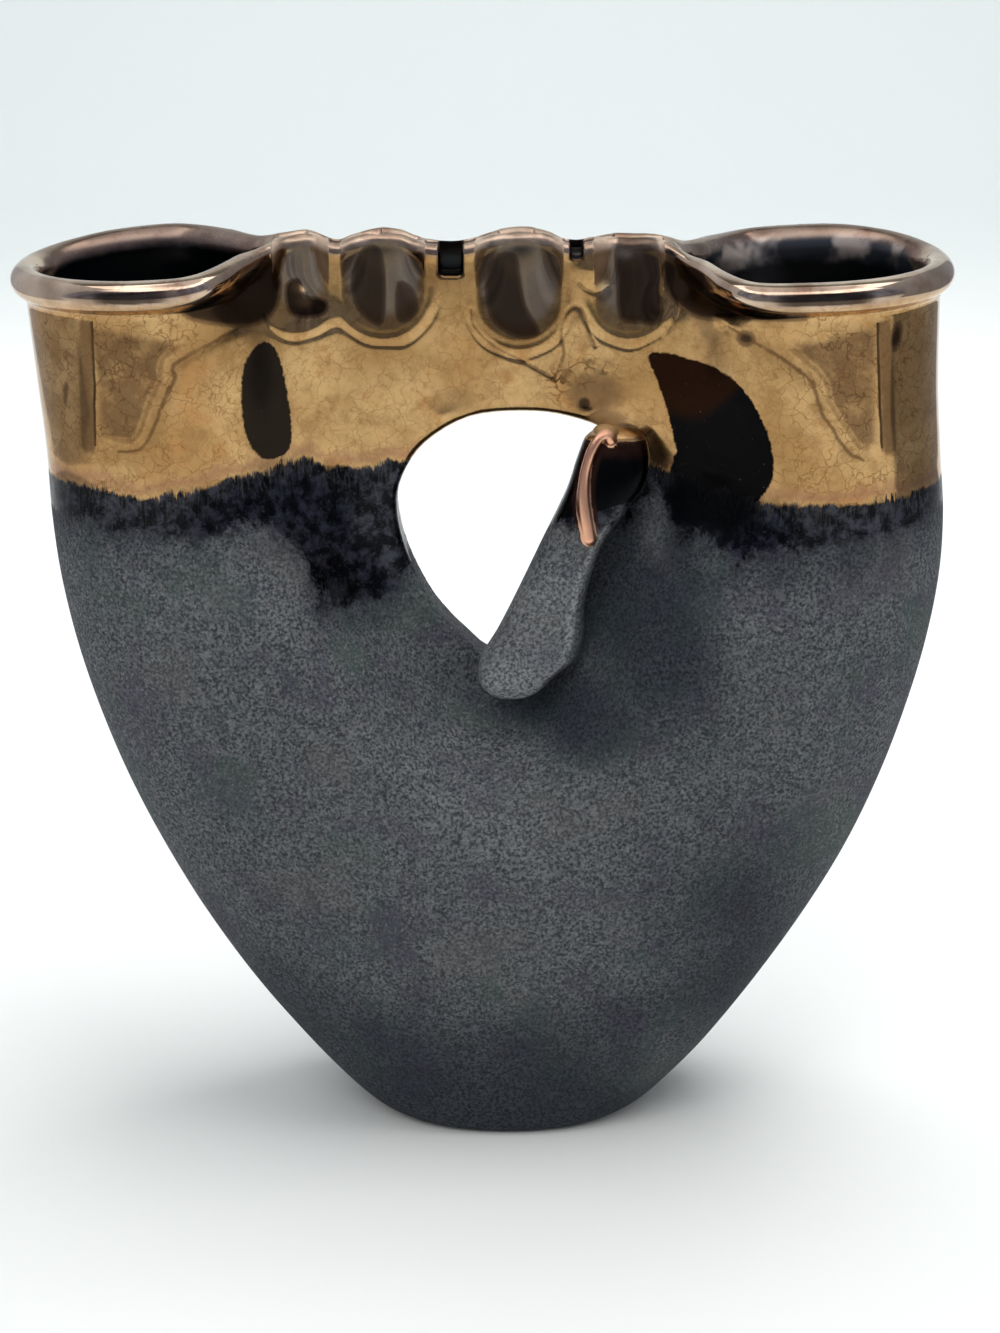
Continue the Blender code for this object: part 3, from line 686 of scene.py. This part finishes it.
    # painted shade along the creases of the bridge
    bronze = t.mix(t.ramp(t.math("ADD", crease, t.math("MULTIPLY", stray, 0.35)), 0.05, 0.45, 0.6, 0.0), bronze, rgb(74, 50, 32))
    # painted reflection: a thin dark line down each lobe
    bronze = t.mix(t.ramp(t.math("ABSOLUTE", t.math("ADD", reflected_line, t.math("MULTIPLY", stray, 0.22))), 0.16, 0.46, 0.92, 0.0), bronze, rgb(34, 22, 17))
    blush = t.math("MULTIPLY", t.ramp(edge, 0.2, 1.6), t.ramp(edge, 1.8, 4.2, 1.0, 0.0))
    bronze = t.mix(t.math("MULTIPLY", blush, 0.55), bronze, rgb(150, 108, 84))
    # painted darker reflection over the panels of the lobes, lifted beside the folds, mottled
    painted_panel_shade = t.ramp(t.math("ADD", t.math("ADD", panel, t.math("MULTIPLY", ridge, 2.0)), stray), -2.8, 1.0, 0.95, 0.0)
    painted_panel_shade = t.math("MULTIPLY", painted_panel_shade, t.ramp(t.noise(coords, 260.0, 5.0, 0.64), 0.30, 0.66, 0.58, 1.12))
    # the painted shade, dark reflections and panel shade together darken the bronze
    shaded = t.math("MAXIMUM", painted_shade_and_reflection, painted_panel_shade)
    # paler bronze in the presses: a painted lighter, greyer reflection
    bronze = t.mix(t.math("MULTIPLY", scoop, 0.62), bronze, rgb(198, 180, 152))
    bronze = t.mix(t.ramp(shaded, 0.1, 0.9, 0.0, 0.80), bronze, rgb(102, 76, 52))
    # crazing shows darker inside the painted panel shade
    bronze = t.mix(t.math("MULTIPLY", t.math("MULTIPLY", craze, painted_panel_shade), 0.6), bronze, rgb(84, 58, 36))
    # painted shade and dark reflection: the strongest values darken the bronze nearly to black
    bronze = t.mix(t.ramp(painted_shade_and_reflection, 1.0, 2.0, 0.0, 0.85), bronze, rgb(38, 28, 23))
    bronze = t.mix(t.ramp(painted_shade_and_reflection, 2.0, 3.0, 0.0, 0.95), bronze, rgb(12, 9, 10))
    bronze = t.mix(t.math("MULTIPLY", wall, 0.85), bronze, t.mix(t.ramp(place.outputs["Z"], 0.160, 0.170), rgb(180, 146, 100), rgb(112, 86, 64)))
    # colour of the painted dark reflections, browner on the left, darker on the right
    dark_reflection_colour = t.mix(right, rgb(39, 33, 27), rgb(15, 14, 15))
    # painted brown reflection at the upper end of the right dark reflection
    dark_reflection_colour = t.mix(brown_reflection_shade, dark_reflection_colour, rgb(34, 19, 11))
    dark_reflection_colour = t.mix(t.math("MULTIPLY", t.ramp(fleck, 0.70, 0.76), 0.5), dark_reflection_colour, rgb(96, 84, 70))
    bronze = t.mix(deep, bronze, dark_reflection_colour)

    copper = t.mix(t.ramp(t.noise(coords, 120.0, 3.0), 0.35, 0.65), rgb(174, 151, 131), rgb(216, 193, 172))
    copper = t.mix(t.math("MULTIPLY", t.ramp(warm, 0.5, 0.7), 0.6), copper, rgb(142, 102, 86))
    # painted shade: the copper darker along the back of the rims
    behind = t.ramp(place.outputs["Y"], 0.002, 0.008)
    copper = t.mix(t.math("MULTIPLY", behind, 0.56), copper, rgb(84, 60, 58))
    # painted shade and dark reflection on the copper rims
    copper = t.mix(t.ramp(painted_shade_and_reflection, 1.0, 2.0, 0.0, 0.85), copper, rgb(40, 28, 24))
    copper = t.mix(t.ramp(painted_shade_and_reflection, 2.0, 3.0, 0.0, 0.95), copper, rgb(12, 9, 10))
    copper = t.mix(roll, copper, rgb(238, 180, 148))
    metal = t.mix(t.math("MAXIMUM", lip, roll), bronze, copper)
    black_c = t.mix(t.ramp(t.noise(coords, 380.0, 5.0, 0.68), 0.42, 0.66), rgb(12, 13, 18), rgb(64, 65, 74))
    black_c = t.mix(t.math("MULTIPLY", t.ramp(fleck, 0.60, 0.72), 0.45), black_c, rgb(84, 86, 88))
    near_gold = t.math("MULTIPLY", t.ramp(edge, -7.0, -0.5), t.ramp(t.noise(coords, 1.0, 3.0, 0.7, stretch=(1500, 1500, 170)), 0.50, 0.62))
    black_c = t.mix(t.math("MULTIPLY", near_gold, 0.28), black_c, rgb(104, 101, 98))
    # painted dark reflection carried into the black glaze
    black_c = t.mix(dark_reflection_in_black, black_c, rgb(4, 5, 7))
    # painted brown in the black glaze: reflection on the top of the flap and shade around its copper roll
    black_c = t.mix(t.ramp(brown_reflection_shade, 1.0, 2.0), black_c, rgb(52, 31, 22))
    low = t.mix(black, clay, black_c)
    base = t.mix(gold, low, metal)
    # painted reflection in pale and dusky patches on the inner walls under the lips, with painted shade deepening to
    # near black further into the mouths
    inner_wall_reflection = t.mix(right, rgb(92, 75, 73), t.mix(t.ramp(t.noise(coords, 85.0, 3.0, 0.5), 0.50, 0.62), rgb(50, 54, 62), rgb(178, 166, 160)))
    within = t.mix(t.ramp(t.math("ADD", depth_in, t.math("MULTIPLY", stray, 0.8)), t.blend(right, -1.6, 0.0), t.blend(right, 1.2, 4.6)), inner_wall_reflection, rgb(2, 5, 7))
    base = t.mix(inside, base, within)
    t.put(bsdf.inputs["Base Color"], base)
    t.put(bsdf.inputs["Metallic"], t.math("MULTIPLY", t.math("MAXIMUM", gold, t.math("MULTIPLY", black, 0.85)), t.math("MULTIPLY", t.blend(inside, 1.0, 0.3), t.blend(wall, 1.0, 0.3))))
    rough = t.blend(black, 0.95, t.blend(near_gold, t.ramp(patches, 0.3, 0.7, 0.16, 0.36), 0.6))
    rough = t.blend(gold, rough, t.ramp(mottled, 0.3, 0.7, 0.06, 0.13))
    rough = t.blend(lip, rough, t.math("ADD", t.ramp(clumps, 0.35, 0.65, 0.07, 0.16), t.ramp(place.outputs["Z"], 0.1865, 0.1890, 0.0, 0.22)))
    rough = t.blend(roll, rough, 0.32)
    rough = t.blend(t.ramp(painted_shade_and_reflection, 2.0, 3.0), rough, 0.6)
    rough = t.math("ADD", rough, t.math("MULTIPLY", scoop, t.ramp(painted_shade_and_reflection, 1.3, 2.0, 0.0, 0.14)))
    rough = t.blend(wall, rough, 0.5)
    rough = t.blend(t.math("MULTIPLY", t.ramp(brown_reflection_shade, 1.0, 2.0), t.math("MULTIPLY", gold, t.math("SUBTRACT", 1.0, roll))), rough, 0.4)
    rough = t.math("ADD", rough, t.math("MULTIPLY", t.math("MULTIPLY", behind, lip), 0.14))
    t.put(bsdf.inputs["Roughness"], t.blend(inside, rough, 0.28))

    bare = t.math("SUBTRACT", 1.0, t.math("MAXIMUM", black, gold))
    sand = t.math("MULTIPLY", t.math("MULTIPLY", grain, bare), 0.00035)
    skin = t.math("MULTIPLY", t.math("MULTIPLY", gold, t.ramp(bronze_height, 0.0, 5.0)), 0.00018)
    bump = t.node("ShaderNodeBump")
    bump.inputs["Strength"].default_value = 0.8
    bump.inputs["Distance"].default_value = 1.0
    t.put(bump.inputs["Height"], t.math("ADD", sand, skin))
    t.put(bsdf.inputs["Normal"], bump.outputs[0])
    return mat


# Lower edge of the bronze on the front, and below it the lower edge of the thin black glaze.
BRONZE_EDGE = spline([(-97, 142.5), (-81, 142.8), (-73, 141.8), (-65, 143), (-58, 144.8), (-51, 145.2), (-46, 146), (-41, 146.4), (-37, 144.2), (-30, 143.4),
                      (-23, 144.8), (-10, 145), (8, 146), (15, 147), (22, 146), (27, 145), (32, 143), (40, 141.4), (53, 140.8), (70, 140.4), (88, 141.4)])
BLACK_EDGE = spline([(-97, 134), (-81, 134.2), (-61, 134.4), (-53, 134.6), (-46, 133), (-42, 129), (-39, 121), (-35, 117.5), (-30, 116.5),
                     (-25, 116), (-21, 121), (-12, 128), (10, 130), (20, 132), (25, 133), (28.5, 138.5), (31, 138), (34, 131), (38, 130.5), (46, 129.3), (53, 130), (64, 132), (74, 133), (88, 135)])
BRONZE_BACK = spline([(-97, 142.5), (-70, 144.5), (-40, 142), (-20, 145), (10, 141), (40, 143.5), (70, 140), (88, 141)])
BLACK_BACK = spline([(-97, 134.5), (-70, 134), (-45, 131), (-20, 127), (5, 124), (30, 130), (60, 133), (88, 135)])


# Two dark painted reflections in the glossy bronze beside the bridge, and the brown painted reflection at the upper end
# of the right one.
DARK_REFLECTION_LEFT = closed_curve([(-48.5, 171.6), (-51.1, 169.6), (-52.4, 166), (-52.8, 161), (-52.6, 156), (-51.6, 151.5), (-49.6, 148.4), (-47.2, 147.4), (-44.6, 148.4),
                          (-43.5, 152), (-44, 158.4), (-44.8, 164.6), (-45.8, 168.6), (-47.1, 170.8)], 4)
DARK_REFLECTION_RIGHT = closed_curve([(27.9, 167.3), (31.5, 167.9), (36.3, 167.3), (40.2, 166.7), (44.4, 164.7), (47.6, 161.2), (49.7, 157.4), (51.4, 153), (52.2, 148), (51.4, 144),
                           (49.4, 140.6), (48.4, 136), (43, 132.4), (36, 132), (31.4, 133.5), (31.9, 139.5), (32.8, 144.6), (33.7, 147.8), (33, 151), (31.8, 155.7),
                           (29.9, 161.4), (28.2, 165.6)], 4)
BROWN_REFLECTION_LINE = spline([(26, 157), (31.8, 155.6), (38, 155.4), (43, 160.5), (47, 166)])
# Panels of the lobes above the folds with painted darker reflection, painted shade in wedges under the rims beside the
# bridge, and painted dark reflections in the hearts of the presses.
PANEL_LEFT = closed_curve([(-81.4, 176.4), (-70, 175.6), (-60, 175), (-54.6, 174.7), (-60, 172.3), (-65.2, 169.3), (-65.2, 166.3), (-68, 161.1), (-70.5, 154.4),
                           (-73, 151.6), (-76, 150.9), (-79.5, 152), (-81.8, 154), (-81.6, 165)], 3)
PANEL_RIGHT = closed_curve([(71.4, 176.8), (60, 175), (51, 174.4), (46.4, 174), (50, 172), (54.3, 169.7), (59, 165.7), (60.5, 161), (63.6, 155.8), (66.9, 151),
                            (70, 149.5), (73.2, 151.5), (72.4, 164)], 3)
WEDGE_LEFT = closed_curve([(-62.5, 179.8), (-55, 182.0), (-50.6, 184.6), (-47.8, 187.2), (-46, 183), (-46.4, 178), (-49.5, 175.8), (-55, 176.6)], 3)
WEDGE_RIGHT = closed_curve([(31.2, 188), (34.5, 185.6), (38, 183), (46, 180.2), (57, 179.3), (46, 178.4), (41.6, 177.2), (37.5, 176.6), (33.4, 178.6), (31.4, 182)], 3)
CORES = [closed_curve(line, 3) for line in (
    [(21.6, 190.5), (29.4, 190.5), (30.2, 182), (30, 174.4), (26, 173.6), (22.2, 174.4), (21.6, 182)],
    [(-4.4, 184.6), (-1.6, 186.6), (1.4, 186), (2.2, 181), (3.3, 176.4), (5.9, 172), (5, 170.4), (1.1, 170.6), (-2.9, 173.3), (-4.4, 177.3)],
    [(-31.2, 182.6), (-29.4, 187.4), (-26, 187.6), (-24.8, 182), (-25.3, 173.4), (-28.1, 173.9), (-30.8, 177.3)],
    [(-22.2, 181), (-19.2, 180), (-18.2, 176), (-20.4, 173.6), (-22.4, 174.4)],
    [(-44.2, 181), (-41.9, 181.6), (-40.9, 178.7), (-36.6, 177.8), (-37, 175.4), (-41.4, 175.2), (-43.7, 176.8)])]
# Painted dark reflections along the front of both rims: from, to.
RIM_DARK_REFLECTIONS = [(-82.5, -63.5), (49.0, 72.5)]


def paint(node, obj, co):
    """Where each finish lies, kept with the mesh as heights above its edges and as amounts."""
    x, y, z = co.T
    body, d_out, d_in, core, p, window = vase(x, y, z, parts=True)
    back = ramp(y, -6, 6)
    bronze = z - (BRONZE_EDGE(x) * (1 - back) + BRONZE_BACK(x) * back)
    black = z - (BLACK_EDGE(x) * (1 - back) + BLACK_BACK(x) * back)
    roll = 0 * x
    lift = back_lip(x) * ramp(y, -12, 18)
    inside = ramp(-d_in, -1.5, -0.3) * (1 - ramp(z - lip_at(x) - lift - 2.6 * ramp(y, 4, 10), -2.5, 0.5))
    if node == "folded_flap":
        inside = 0 * x
        roll = 1 - ramp(to_path(x, y, z, roll_line) - 0.45 * ramp(146 - z, 0, 12), 1.15, 1.5)
        bronze = np.maximum(40 * roll - 20, 6 * (z - 150.4))
        black = z - 134.5 - 0.25 * (x - 18)
    masks = {"bronze_height": bronze, "black_height": black, "inside": inside, "lip": ramp((z - lip_at(x)) / (3.15 - 1.9 * ramp(p, 0.45, 1.0)), -0.95, 0.15), "roll": roll,
             "depth_in": np.clip(lip_at(x) + lift - z, -6, 60)}
    facing = np.where(y < 0, 0.0, 60.0)
    # painted dark reflections, kept to the front
    dark_reflections = np.minimum(to_outline(x, z, DARK_REFLECTION_LEFT), to_outline(x, z, DARK_REFLECTION_RIGHT)) + facing
    masks["dark_reflection"] = -np.clip(dark_reflections, -20, 20) - (40 if node == "folded_flap" else 0)
    # painted brown reflection above this line, at the upper end of the right dark reflection
    masks["brown_reflection_shade"] = ramp(z - BROWN_REFLECTION_LINE(x), -1.2, 1.6) * (x > 20)
    masks["fold"] = np.where(x < 0, *(beside_line(x, z, fold) for fold in FOLDS)) + 2 * facing
    masks["panel"] = np.clip(np.minimum(to_outline(x, z, PANEL_LEFT), to_outline(x, z, PANEL_RIGHT)), -20, 20) + facing
    # painted reflection lines down the lobes, kept to the front
    masks["reflected_line"] = np.where(x < 0, *(beside_line(x, z, line) for line in DARK_REFLECTED_LINES)) + 2 * facing
    masks["crease"] = np.minimum(np.minimum.reduce([to_line(x, z, crease) for crease in CREASES]), 30) + facing
    # painted shade under the rims beside the bridge
    wedges = np.minimum(to_outline(x, z, WEDGE_LEFT), to_outline(x, z, WEDGE_RIGHT))
    painted_shade_and_reflection = 2.3 * (1 - ramp(wedges, -0.6, 1.5))
    # painted dark reflections in the hearts of the presses
    for core_line, strength in zip(CORES, (1.7, 1.52, 1.48, 1.35, 2.2)):
        painted_shade_and_reflection = np.maximum(painted_shade_and_reflection, strength * (1 - ramp(to_outline(x, z, core_line), -0.7, 0.8)))
    # painted dark reflections along the front of both rims
    for start, end in RIM_DARK_REFLECTIONS:
        along = ramp(x, start - 2.5, start + 3.5) * (1 - ramp(x, end - 3.5, end + 2.5))
        heart = ramp(x, start + 1, start + 8) * (1 - ramp(x, end - 8, end - 1))
        above = z - lip_at(x)
        painted_shade_and_reflection = np.maximum(painted_shade_and_reflection, (1.55 + 0.6 * heart) * along * ramp(above, -1.2, -0.5) * (1 - ramp(above, 1.4, 2.1)))
    # painted reflection of the flap on the wall beside its top, painted shade in the small hollow beside it and in the
    # dimple left of the bridge, and a soft dark patch under the left dark reflection
    painted_shade_and_reflection = np.maximum(painted_shade_and_reflection, 0.85 * np.exp(-(((x - 17.2) / 6.2) ** 2 + ((z - 158.8) / 4.8) ** 2) ** 2))
    painted_shade_and_reflection = np.maximum(painted_shade_and_reflection, 2.0 * np.exp(-(((x - 15.2) / 1.6) ** 2 + ((z - 156.8) / 1.7) ** 2) ** 2))
    painted_shade_and_reflection = np.maximum(painted_shade_and_reflection, 0.6 * np.exp(-((x + 47) / 6) ** 2 - ((z - 146.5) / 2.2) ** 2))
    painted_shade_and_reflection = np.maximum(painted_shade_and_reflection, 0.45 * np.exp(-(((x + 11.3) / 5.4) ** 2 + ((z - 157.4) / 3.3) ** 2) ** 3))
    # painted shade on the steep sides of the presses
    steep = np.abs(press(x + 0.1, z, THUMBS) - press(x - 0.1, z, THUMBS)) / 0.2
    painted_shade_and_reflection = np.maximum(painted_shade_and_reflection, 1.35 * ramp(steep, 0.34, 0.62) * ramp(z, 177, 181))
    # small dark spots
    for cx, cz, rx, rz, mark in ((46.2, 173.6, 1.7, 1.5, 1.9), (75.4, 173.8, 1.3, 3.0, 1.9), (63, 171.2, 0.9, 1.9, 1.1), (-87.7, 161.6, 0.5, 2.8, 1.2)):
        painted_shade_and_reflection = np.maximum(painted_shade_and_reflection, mark * np.exp(-(((x - cx - 0.15 * (z - cz)) / rx) ** 2 + ((z - cz) / rz) ** 2) ** 2))
    # painted shade in the pit and the notch
    recess = 0 * x
    for cx, w, foot, deep in ((-11.6, 2.7, 182.4, 3.0), (13.4, 1.6, 185.6, 1.5)):
        recess = np.maximum(recess, 3.0 * (1 - ramp(np.abs(x - cx), w - 0.5, w + 0.3)) * ramp(z, foot, foot + 0.7) * ramp(y, -6.2, -4.6) * (1 - ramp(y, deep, deep + 1)))
    # painted darker reflection on the strips outside the two dark lines
    fallen = 177.5 - z
    beyond = 0 * x
    for past, near, far in ((-x - 81.1 - 0.035 * fallen, 1.25, 0.24), (x - 71.5 - 0.09 * fallen, 1.3, 0.06)):
        beyond = np.maximum(beyond, ramp(past, -0.3, 0.4) * (near + (far - near) * ramp(past, 1.9, 3.6)))
    painted_shade_and_reflection = np.maximum(painted_shade_and_reflection, beyond * ramp(z, 148.5, 152) * (1 - ramp(z, 176.6, 178.2)) * (1 - 0.25 * ramp(z, 160, 176)))
    masks["painted_shade_and_reflection"] = np.maximum(painted_shade_and_reflection * (y < 0), recess)
    masks["scoop"] = ramp(press(x, z, THUMBS), 0.25, 0.8) * (y < 0)
    inner = 1.0 * (((x > -41.4) & (x < -34)) | ((x > 15.5) & (x < 23.8)))
    masks["wall"] = np.maximum(ramp(steep, 0.6 - 0.3 * inner, 1.2 - 0.5 * inner) * ramp(z, 176, 180), np.exp(-(((x - 19.8) / 3.6) ** 2 + ((z - 153.6) / 1.9) ** 2) ** 2)) * (y < 0)
    masks["rumple"] = (np.exp(-(((x - 15.6) / 7.4) ** 2 + ((z - 162.6) / 3.4) ** 2) ** 2) + 0.7 * np.exp(-((x - 9.6) / 2.6) ** 2 - ((z - 159.5) / 4.5) ** 2)) * (y < 0)
    # painted shadow of the flap on the wall to its right and below it
    flap_shadow = 1.2 * np.exp(-((x - 27 + 0.35 * (z - 118)) / 13) ** 2 - ((z - 116) / 16) ** 2) + 0.9 * np.exp(-((x - 12) / 14) ** 2 - ((z - 95) / 8) ** 2)
    # painted shade: darker towards the base, in patches low on the belly and left of the flap's foot; lighter low on
    # the right
    low = 0.12 + 0.76 * (1 - ramp(z, 0, 50)) + 0.62 * np.exp(-((x - 46) / 21) ** 2 - ((z - 52) / 28) ** 2) + 0.2 * np.exp(-((x + 45) / 20) ** 2 - ((z - 45) / 25) ** 2)
    low = low + 0.16 * (1 - ramp(z - 0.004 * x * x, 28, 38)) - 0.6 * np.exp(-((x - 34) / 13) ** 2 - ((z - 14) / 14) ** 2) - 0.1 * np.exp(-((x + 34) / 13) ** 2 - ((z - 14) / 14) ** 2)
    low = low + 0.3 * np.exp(-((x + 17) / 15) ** 2 - ((z - 97) / 10) ** 2)
    # painted light: paler on the middle of the belly and on the upper left
    pale = 0.36 * np.exp(-((x + 10) / 30) ** 2 - ((z - 72) / 18) ** 2) + 0.3 * np.exp(-((x + 60) / 22) ** 2 - ((z - 118) / 14) ** 2)
    masks["painted_shading"] = np.clip(np.where(y < 0, flap_shadow, 0) + low - pale, -1, 1)
    if node == "folded_flap":
        # on the flap: painted light over its face, a painted highlight line near its right edge, painted shade down its
        # right side, and lighter towards its lower end
        across = (x - flap_tracks[0](z)) / flap_tracks[1](z)
        masks["painted_shading"] = -0.45 - 0.7 * np.exp(-((across - 0.64) / 0.09) ** 2) + 1.15 * ramp(across, 0.66, 0.95) - 0.4 * (1 - ramp(z, 98, 110))
        # on the flap: painted brown reflection on its top and painted shade around its copper roll
        masks["brown_reflection_shade"] = 2 * np.maximum(ramp(z, 142, 150.5), 1 - ramp(to_path(x, y, z, roll_line), 1.9, 3.6))
        # on the flap: painted dark reflection over its upper body
        masks["dark_reflection"] = 48 * ramp(black, 0, 3.5) * (1 - ramp(z, 149.2, 150.2)) - 40
    for key, values in masks.items():
        layer = obj.data.attributes.new(key, "FLOAT", "POINT")
        layer.data.foreach_set("value", np.ascontiguousarray(values, np.float32))


finish = glazed_clay("raku_glaze_and_clay")
for name, (obj, co) in made.items():
    paint(name, obj, co)
    obj.data.materials.clear()
    obj.data.materials.append(finish)
    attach(obj, "root")
    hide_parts(name)

# ------------------------------------------------------------------ studio
def sweep_mesh():
    """A pale floor that curves up into a backdrop."""
    profile = [(-6.0, 0.0), (0.55, 0.0)]
    for k in range(1, 13):
        a = k / 12 * math.pi / 2
        profile.append((0.55 + 0.45 * math.sin(a), 0.45 - 0.45 * math.cos(a)))
    profile.append((1.0, 3.0))
    mesh = bpy.data.meshes.new("floor")
    verts = [(x, y, z) for y, z in profile for x in (-4.0, 4.0)]
    mesh.from_pydata(verts, [], [(2 * i, 2 * i + 1, 2 * i + 3, 2 * i + 2) for i in range(len(profile) - 1)])
    mesh.shade_smooth()
    return mesh


floor = bpy.data.objects.new("floor", sweep_mesh())
scene.collection.objects.link(floor)
paper = bpy.data.materials.new("paper")
paper.use_nodes = True
pt = Tree(paper.node_tree)
place = pt.node("ShaderNodeSeparateXYZ")
pt.put(place.inputs[0], pt.node("ShaderNodeTexCoord").outputs["Object"])
# white underfoot, a little bluer and greyer from where it starts to rise
pt.put(paper.node_tree.nodes["Principled BSDF"].inputs["Base Color"], pt.mix(pt.ramp(place.outputs["Y"], 0.60, 0.76), (0.848, 0.862, 0.846, 1), (0.645, 0.685, 0.68, 1)))
paper.node_tree.nodes["Principled BSDF"].inputs["Roughness"].default_value = 0.9
paper.node_tree.nodes["Principled BSDF"].inputs["Specular IOR Level"].default_value = 0.1
floor.data.materials.append(paper)


def area_light(name, location, aim, size, power, colour=(1, 1, 1), glossy=True):
    data = bpy.data.lights.new(name, "AREA")
    data.shape, data.size, data.size_y = "RECTANGLE", *size
    data.energy, data.color = power, colour
    obj = bpy.data.objects.new(name, data)
    scene.collection.objects.link(obj)
    obj.location = location
    obj.rotation_euler = (Vector(aim) - Vector(location)).to_track_quat("-Z", "Y").to_euler()
    obj.visible_glossy = glossy
    return obj


def card(name, corners, colour):
    """A wall of the light tent: seen in reflections only."""
    mesh = bpy.data.meshes.new(name)
    mesh.from_pydata(corners, [], [(0, 1, 2, 3)])
    mat = bpy.data.materials.new(name)
    mat.use_nodes = True
    mat.node_tree.nodes["Principled BSDF"].inputs["Base Color"].default_value = (*colour, 1)
    mat.node_tree.nodes["Principled BSDF"].inputs["Roughness"].default_value = 1.0
    mesh.materials.append(mat)
    obj = bpy.data.objects.new(name, mesh)
    scene.collection.objects.link(obj)
    obj.visible_camera = False
    obj.visible_shadow = False


for side, sign in (("left", -1), ("right", 1)):
    x0 = 0.45 * sign
    card("tent_" + side, [(x0, -0.16, 0), (x0, 0.9, 0), (x0, 0.9, 0.8), (x0, -0.16, 0.8)], (0.50, 0.51, 0.55) if sign < 0 else (0.31, 0.32, 0.36))

area_light("top_light", (0.3, 0.1, 1.5), (0, 0, 0.1), (1.2, 1.0), 18.0, glossy=False)
area_light("front_fill", (-0.6, -1.2, 1.3), (0, 0, 0.1), (1.4, 1.2), 9.0, glossy=False)
area_light("side_fill", (0.8, -1.0, 1.0), (0, 0, 0.1), (1.0, 1.0), 3.2, glossy=False)
area_light("back_light", (0.0, 0.45, 1.0), (0, 0.40, 0), (1.4, 0.3), 2.4, glossy=False)

world = bpy.data.worlds.new("world")
scene.world = world
world.use_nodes = True
w = Tree(world.node_tree)
background = world.node_tree.nodes["Background"]
direction = w.node("ShaderNodeTexCoord").outputs["Generated"]
parts = w.node("ShaderNodeSeparateXYZ")
w.put(parts.inputs[0], direction)
up = parts.outputs["Z"]
azimuth = w.math("ARCTAN2", parts.outputs["X"], w.math("MULTIPLY", parts.outputs["Y"], -1.0))
turn = w.math("ABSOLUTE", azimuth)
# what the glaze mirrors: dim in front, darkest low in the middle, a bright strip overhead, pale paper behind
columns = w.node("ShaderNodeCombineXYZ")
w.put(columns.inputs[0], w.math("MULTIPLY", azimuth, 4.2))
w.put(columns.inputs[1], w.math("MULTIPLY", up, 0.9))
shades = w.ramp(w.noise(columns.outputs[0], 1.0, 2.0, 0.5), 0.38, 0.62)
room = w.mix(shades, (0.12, 0.13, 0.18, 1), (0.27, 0.30, 0.40, 1))
low = w.math("MULTIPLY", w.ramp(up, 0.36, 0.66, 1.0, 0.0), w.ramp(turn, 0.30, 0.55, 1.0, 0.0))
room = w.mix(low, room, (0.19, 0.205, 0.265, 1))
post = w.math("MULTIPLY", w.ramp(azimuth, -0.24, -0.20), w.ramp(azimuth, -0.13, -0.09, 1.0, 0.0))
post = w.math("MAXIMUM", post, w.math("MULTIPLY", w.ramp(azimuth, -0.52, -0.40), w.ramp(azimuth, -0.25, -0.21, 0.55, 0.0)))
room = w.mix(w.math("MULTIPLY", post, w.ramp(up, 0.10, 0.35)), room, (0.27, 0.28, 0.33, 1))
room = w.mix(w.ramp(turn, 1.6, 2.0), room, (0.85, 0.87, 0.87, 1))
room = w.mix(w.ramp(up, 0.74, 0.88), room, (0.80, 0.77, 0.78, 1))
strip = w.math("MULTIPLY", w.ramp(up, 0.73, 0.80), w.ramp(up, 0.90, 0.95, 1.0, 0.0))
spots = w.ramp(w.noise(columns.outputs[0], 1.3, 1.0, 0.5), 0.40, 0.60, 0.4, 1.0)
room = w.mix(w.math("MULTIPLY", strip, spots), room, (3.0, 2.92, 2.84, 1))
path = w.node("ShaderNodeLightPath")
seen = w.mix(path.outputs["Is Glossy Ray"], (0.20, 0.208, 0.21, 1), room)
w.put(background.inputs[0], seen)

scene.view_settings.view_transform = "Standard"
scene.view_settings.look = "None"
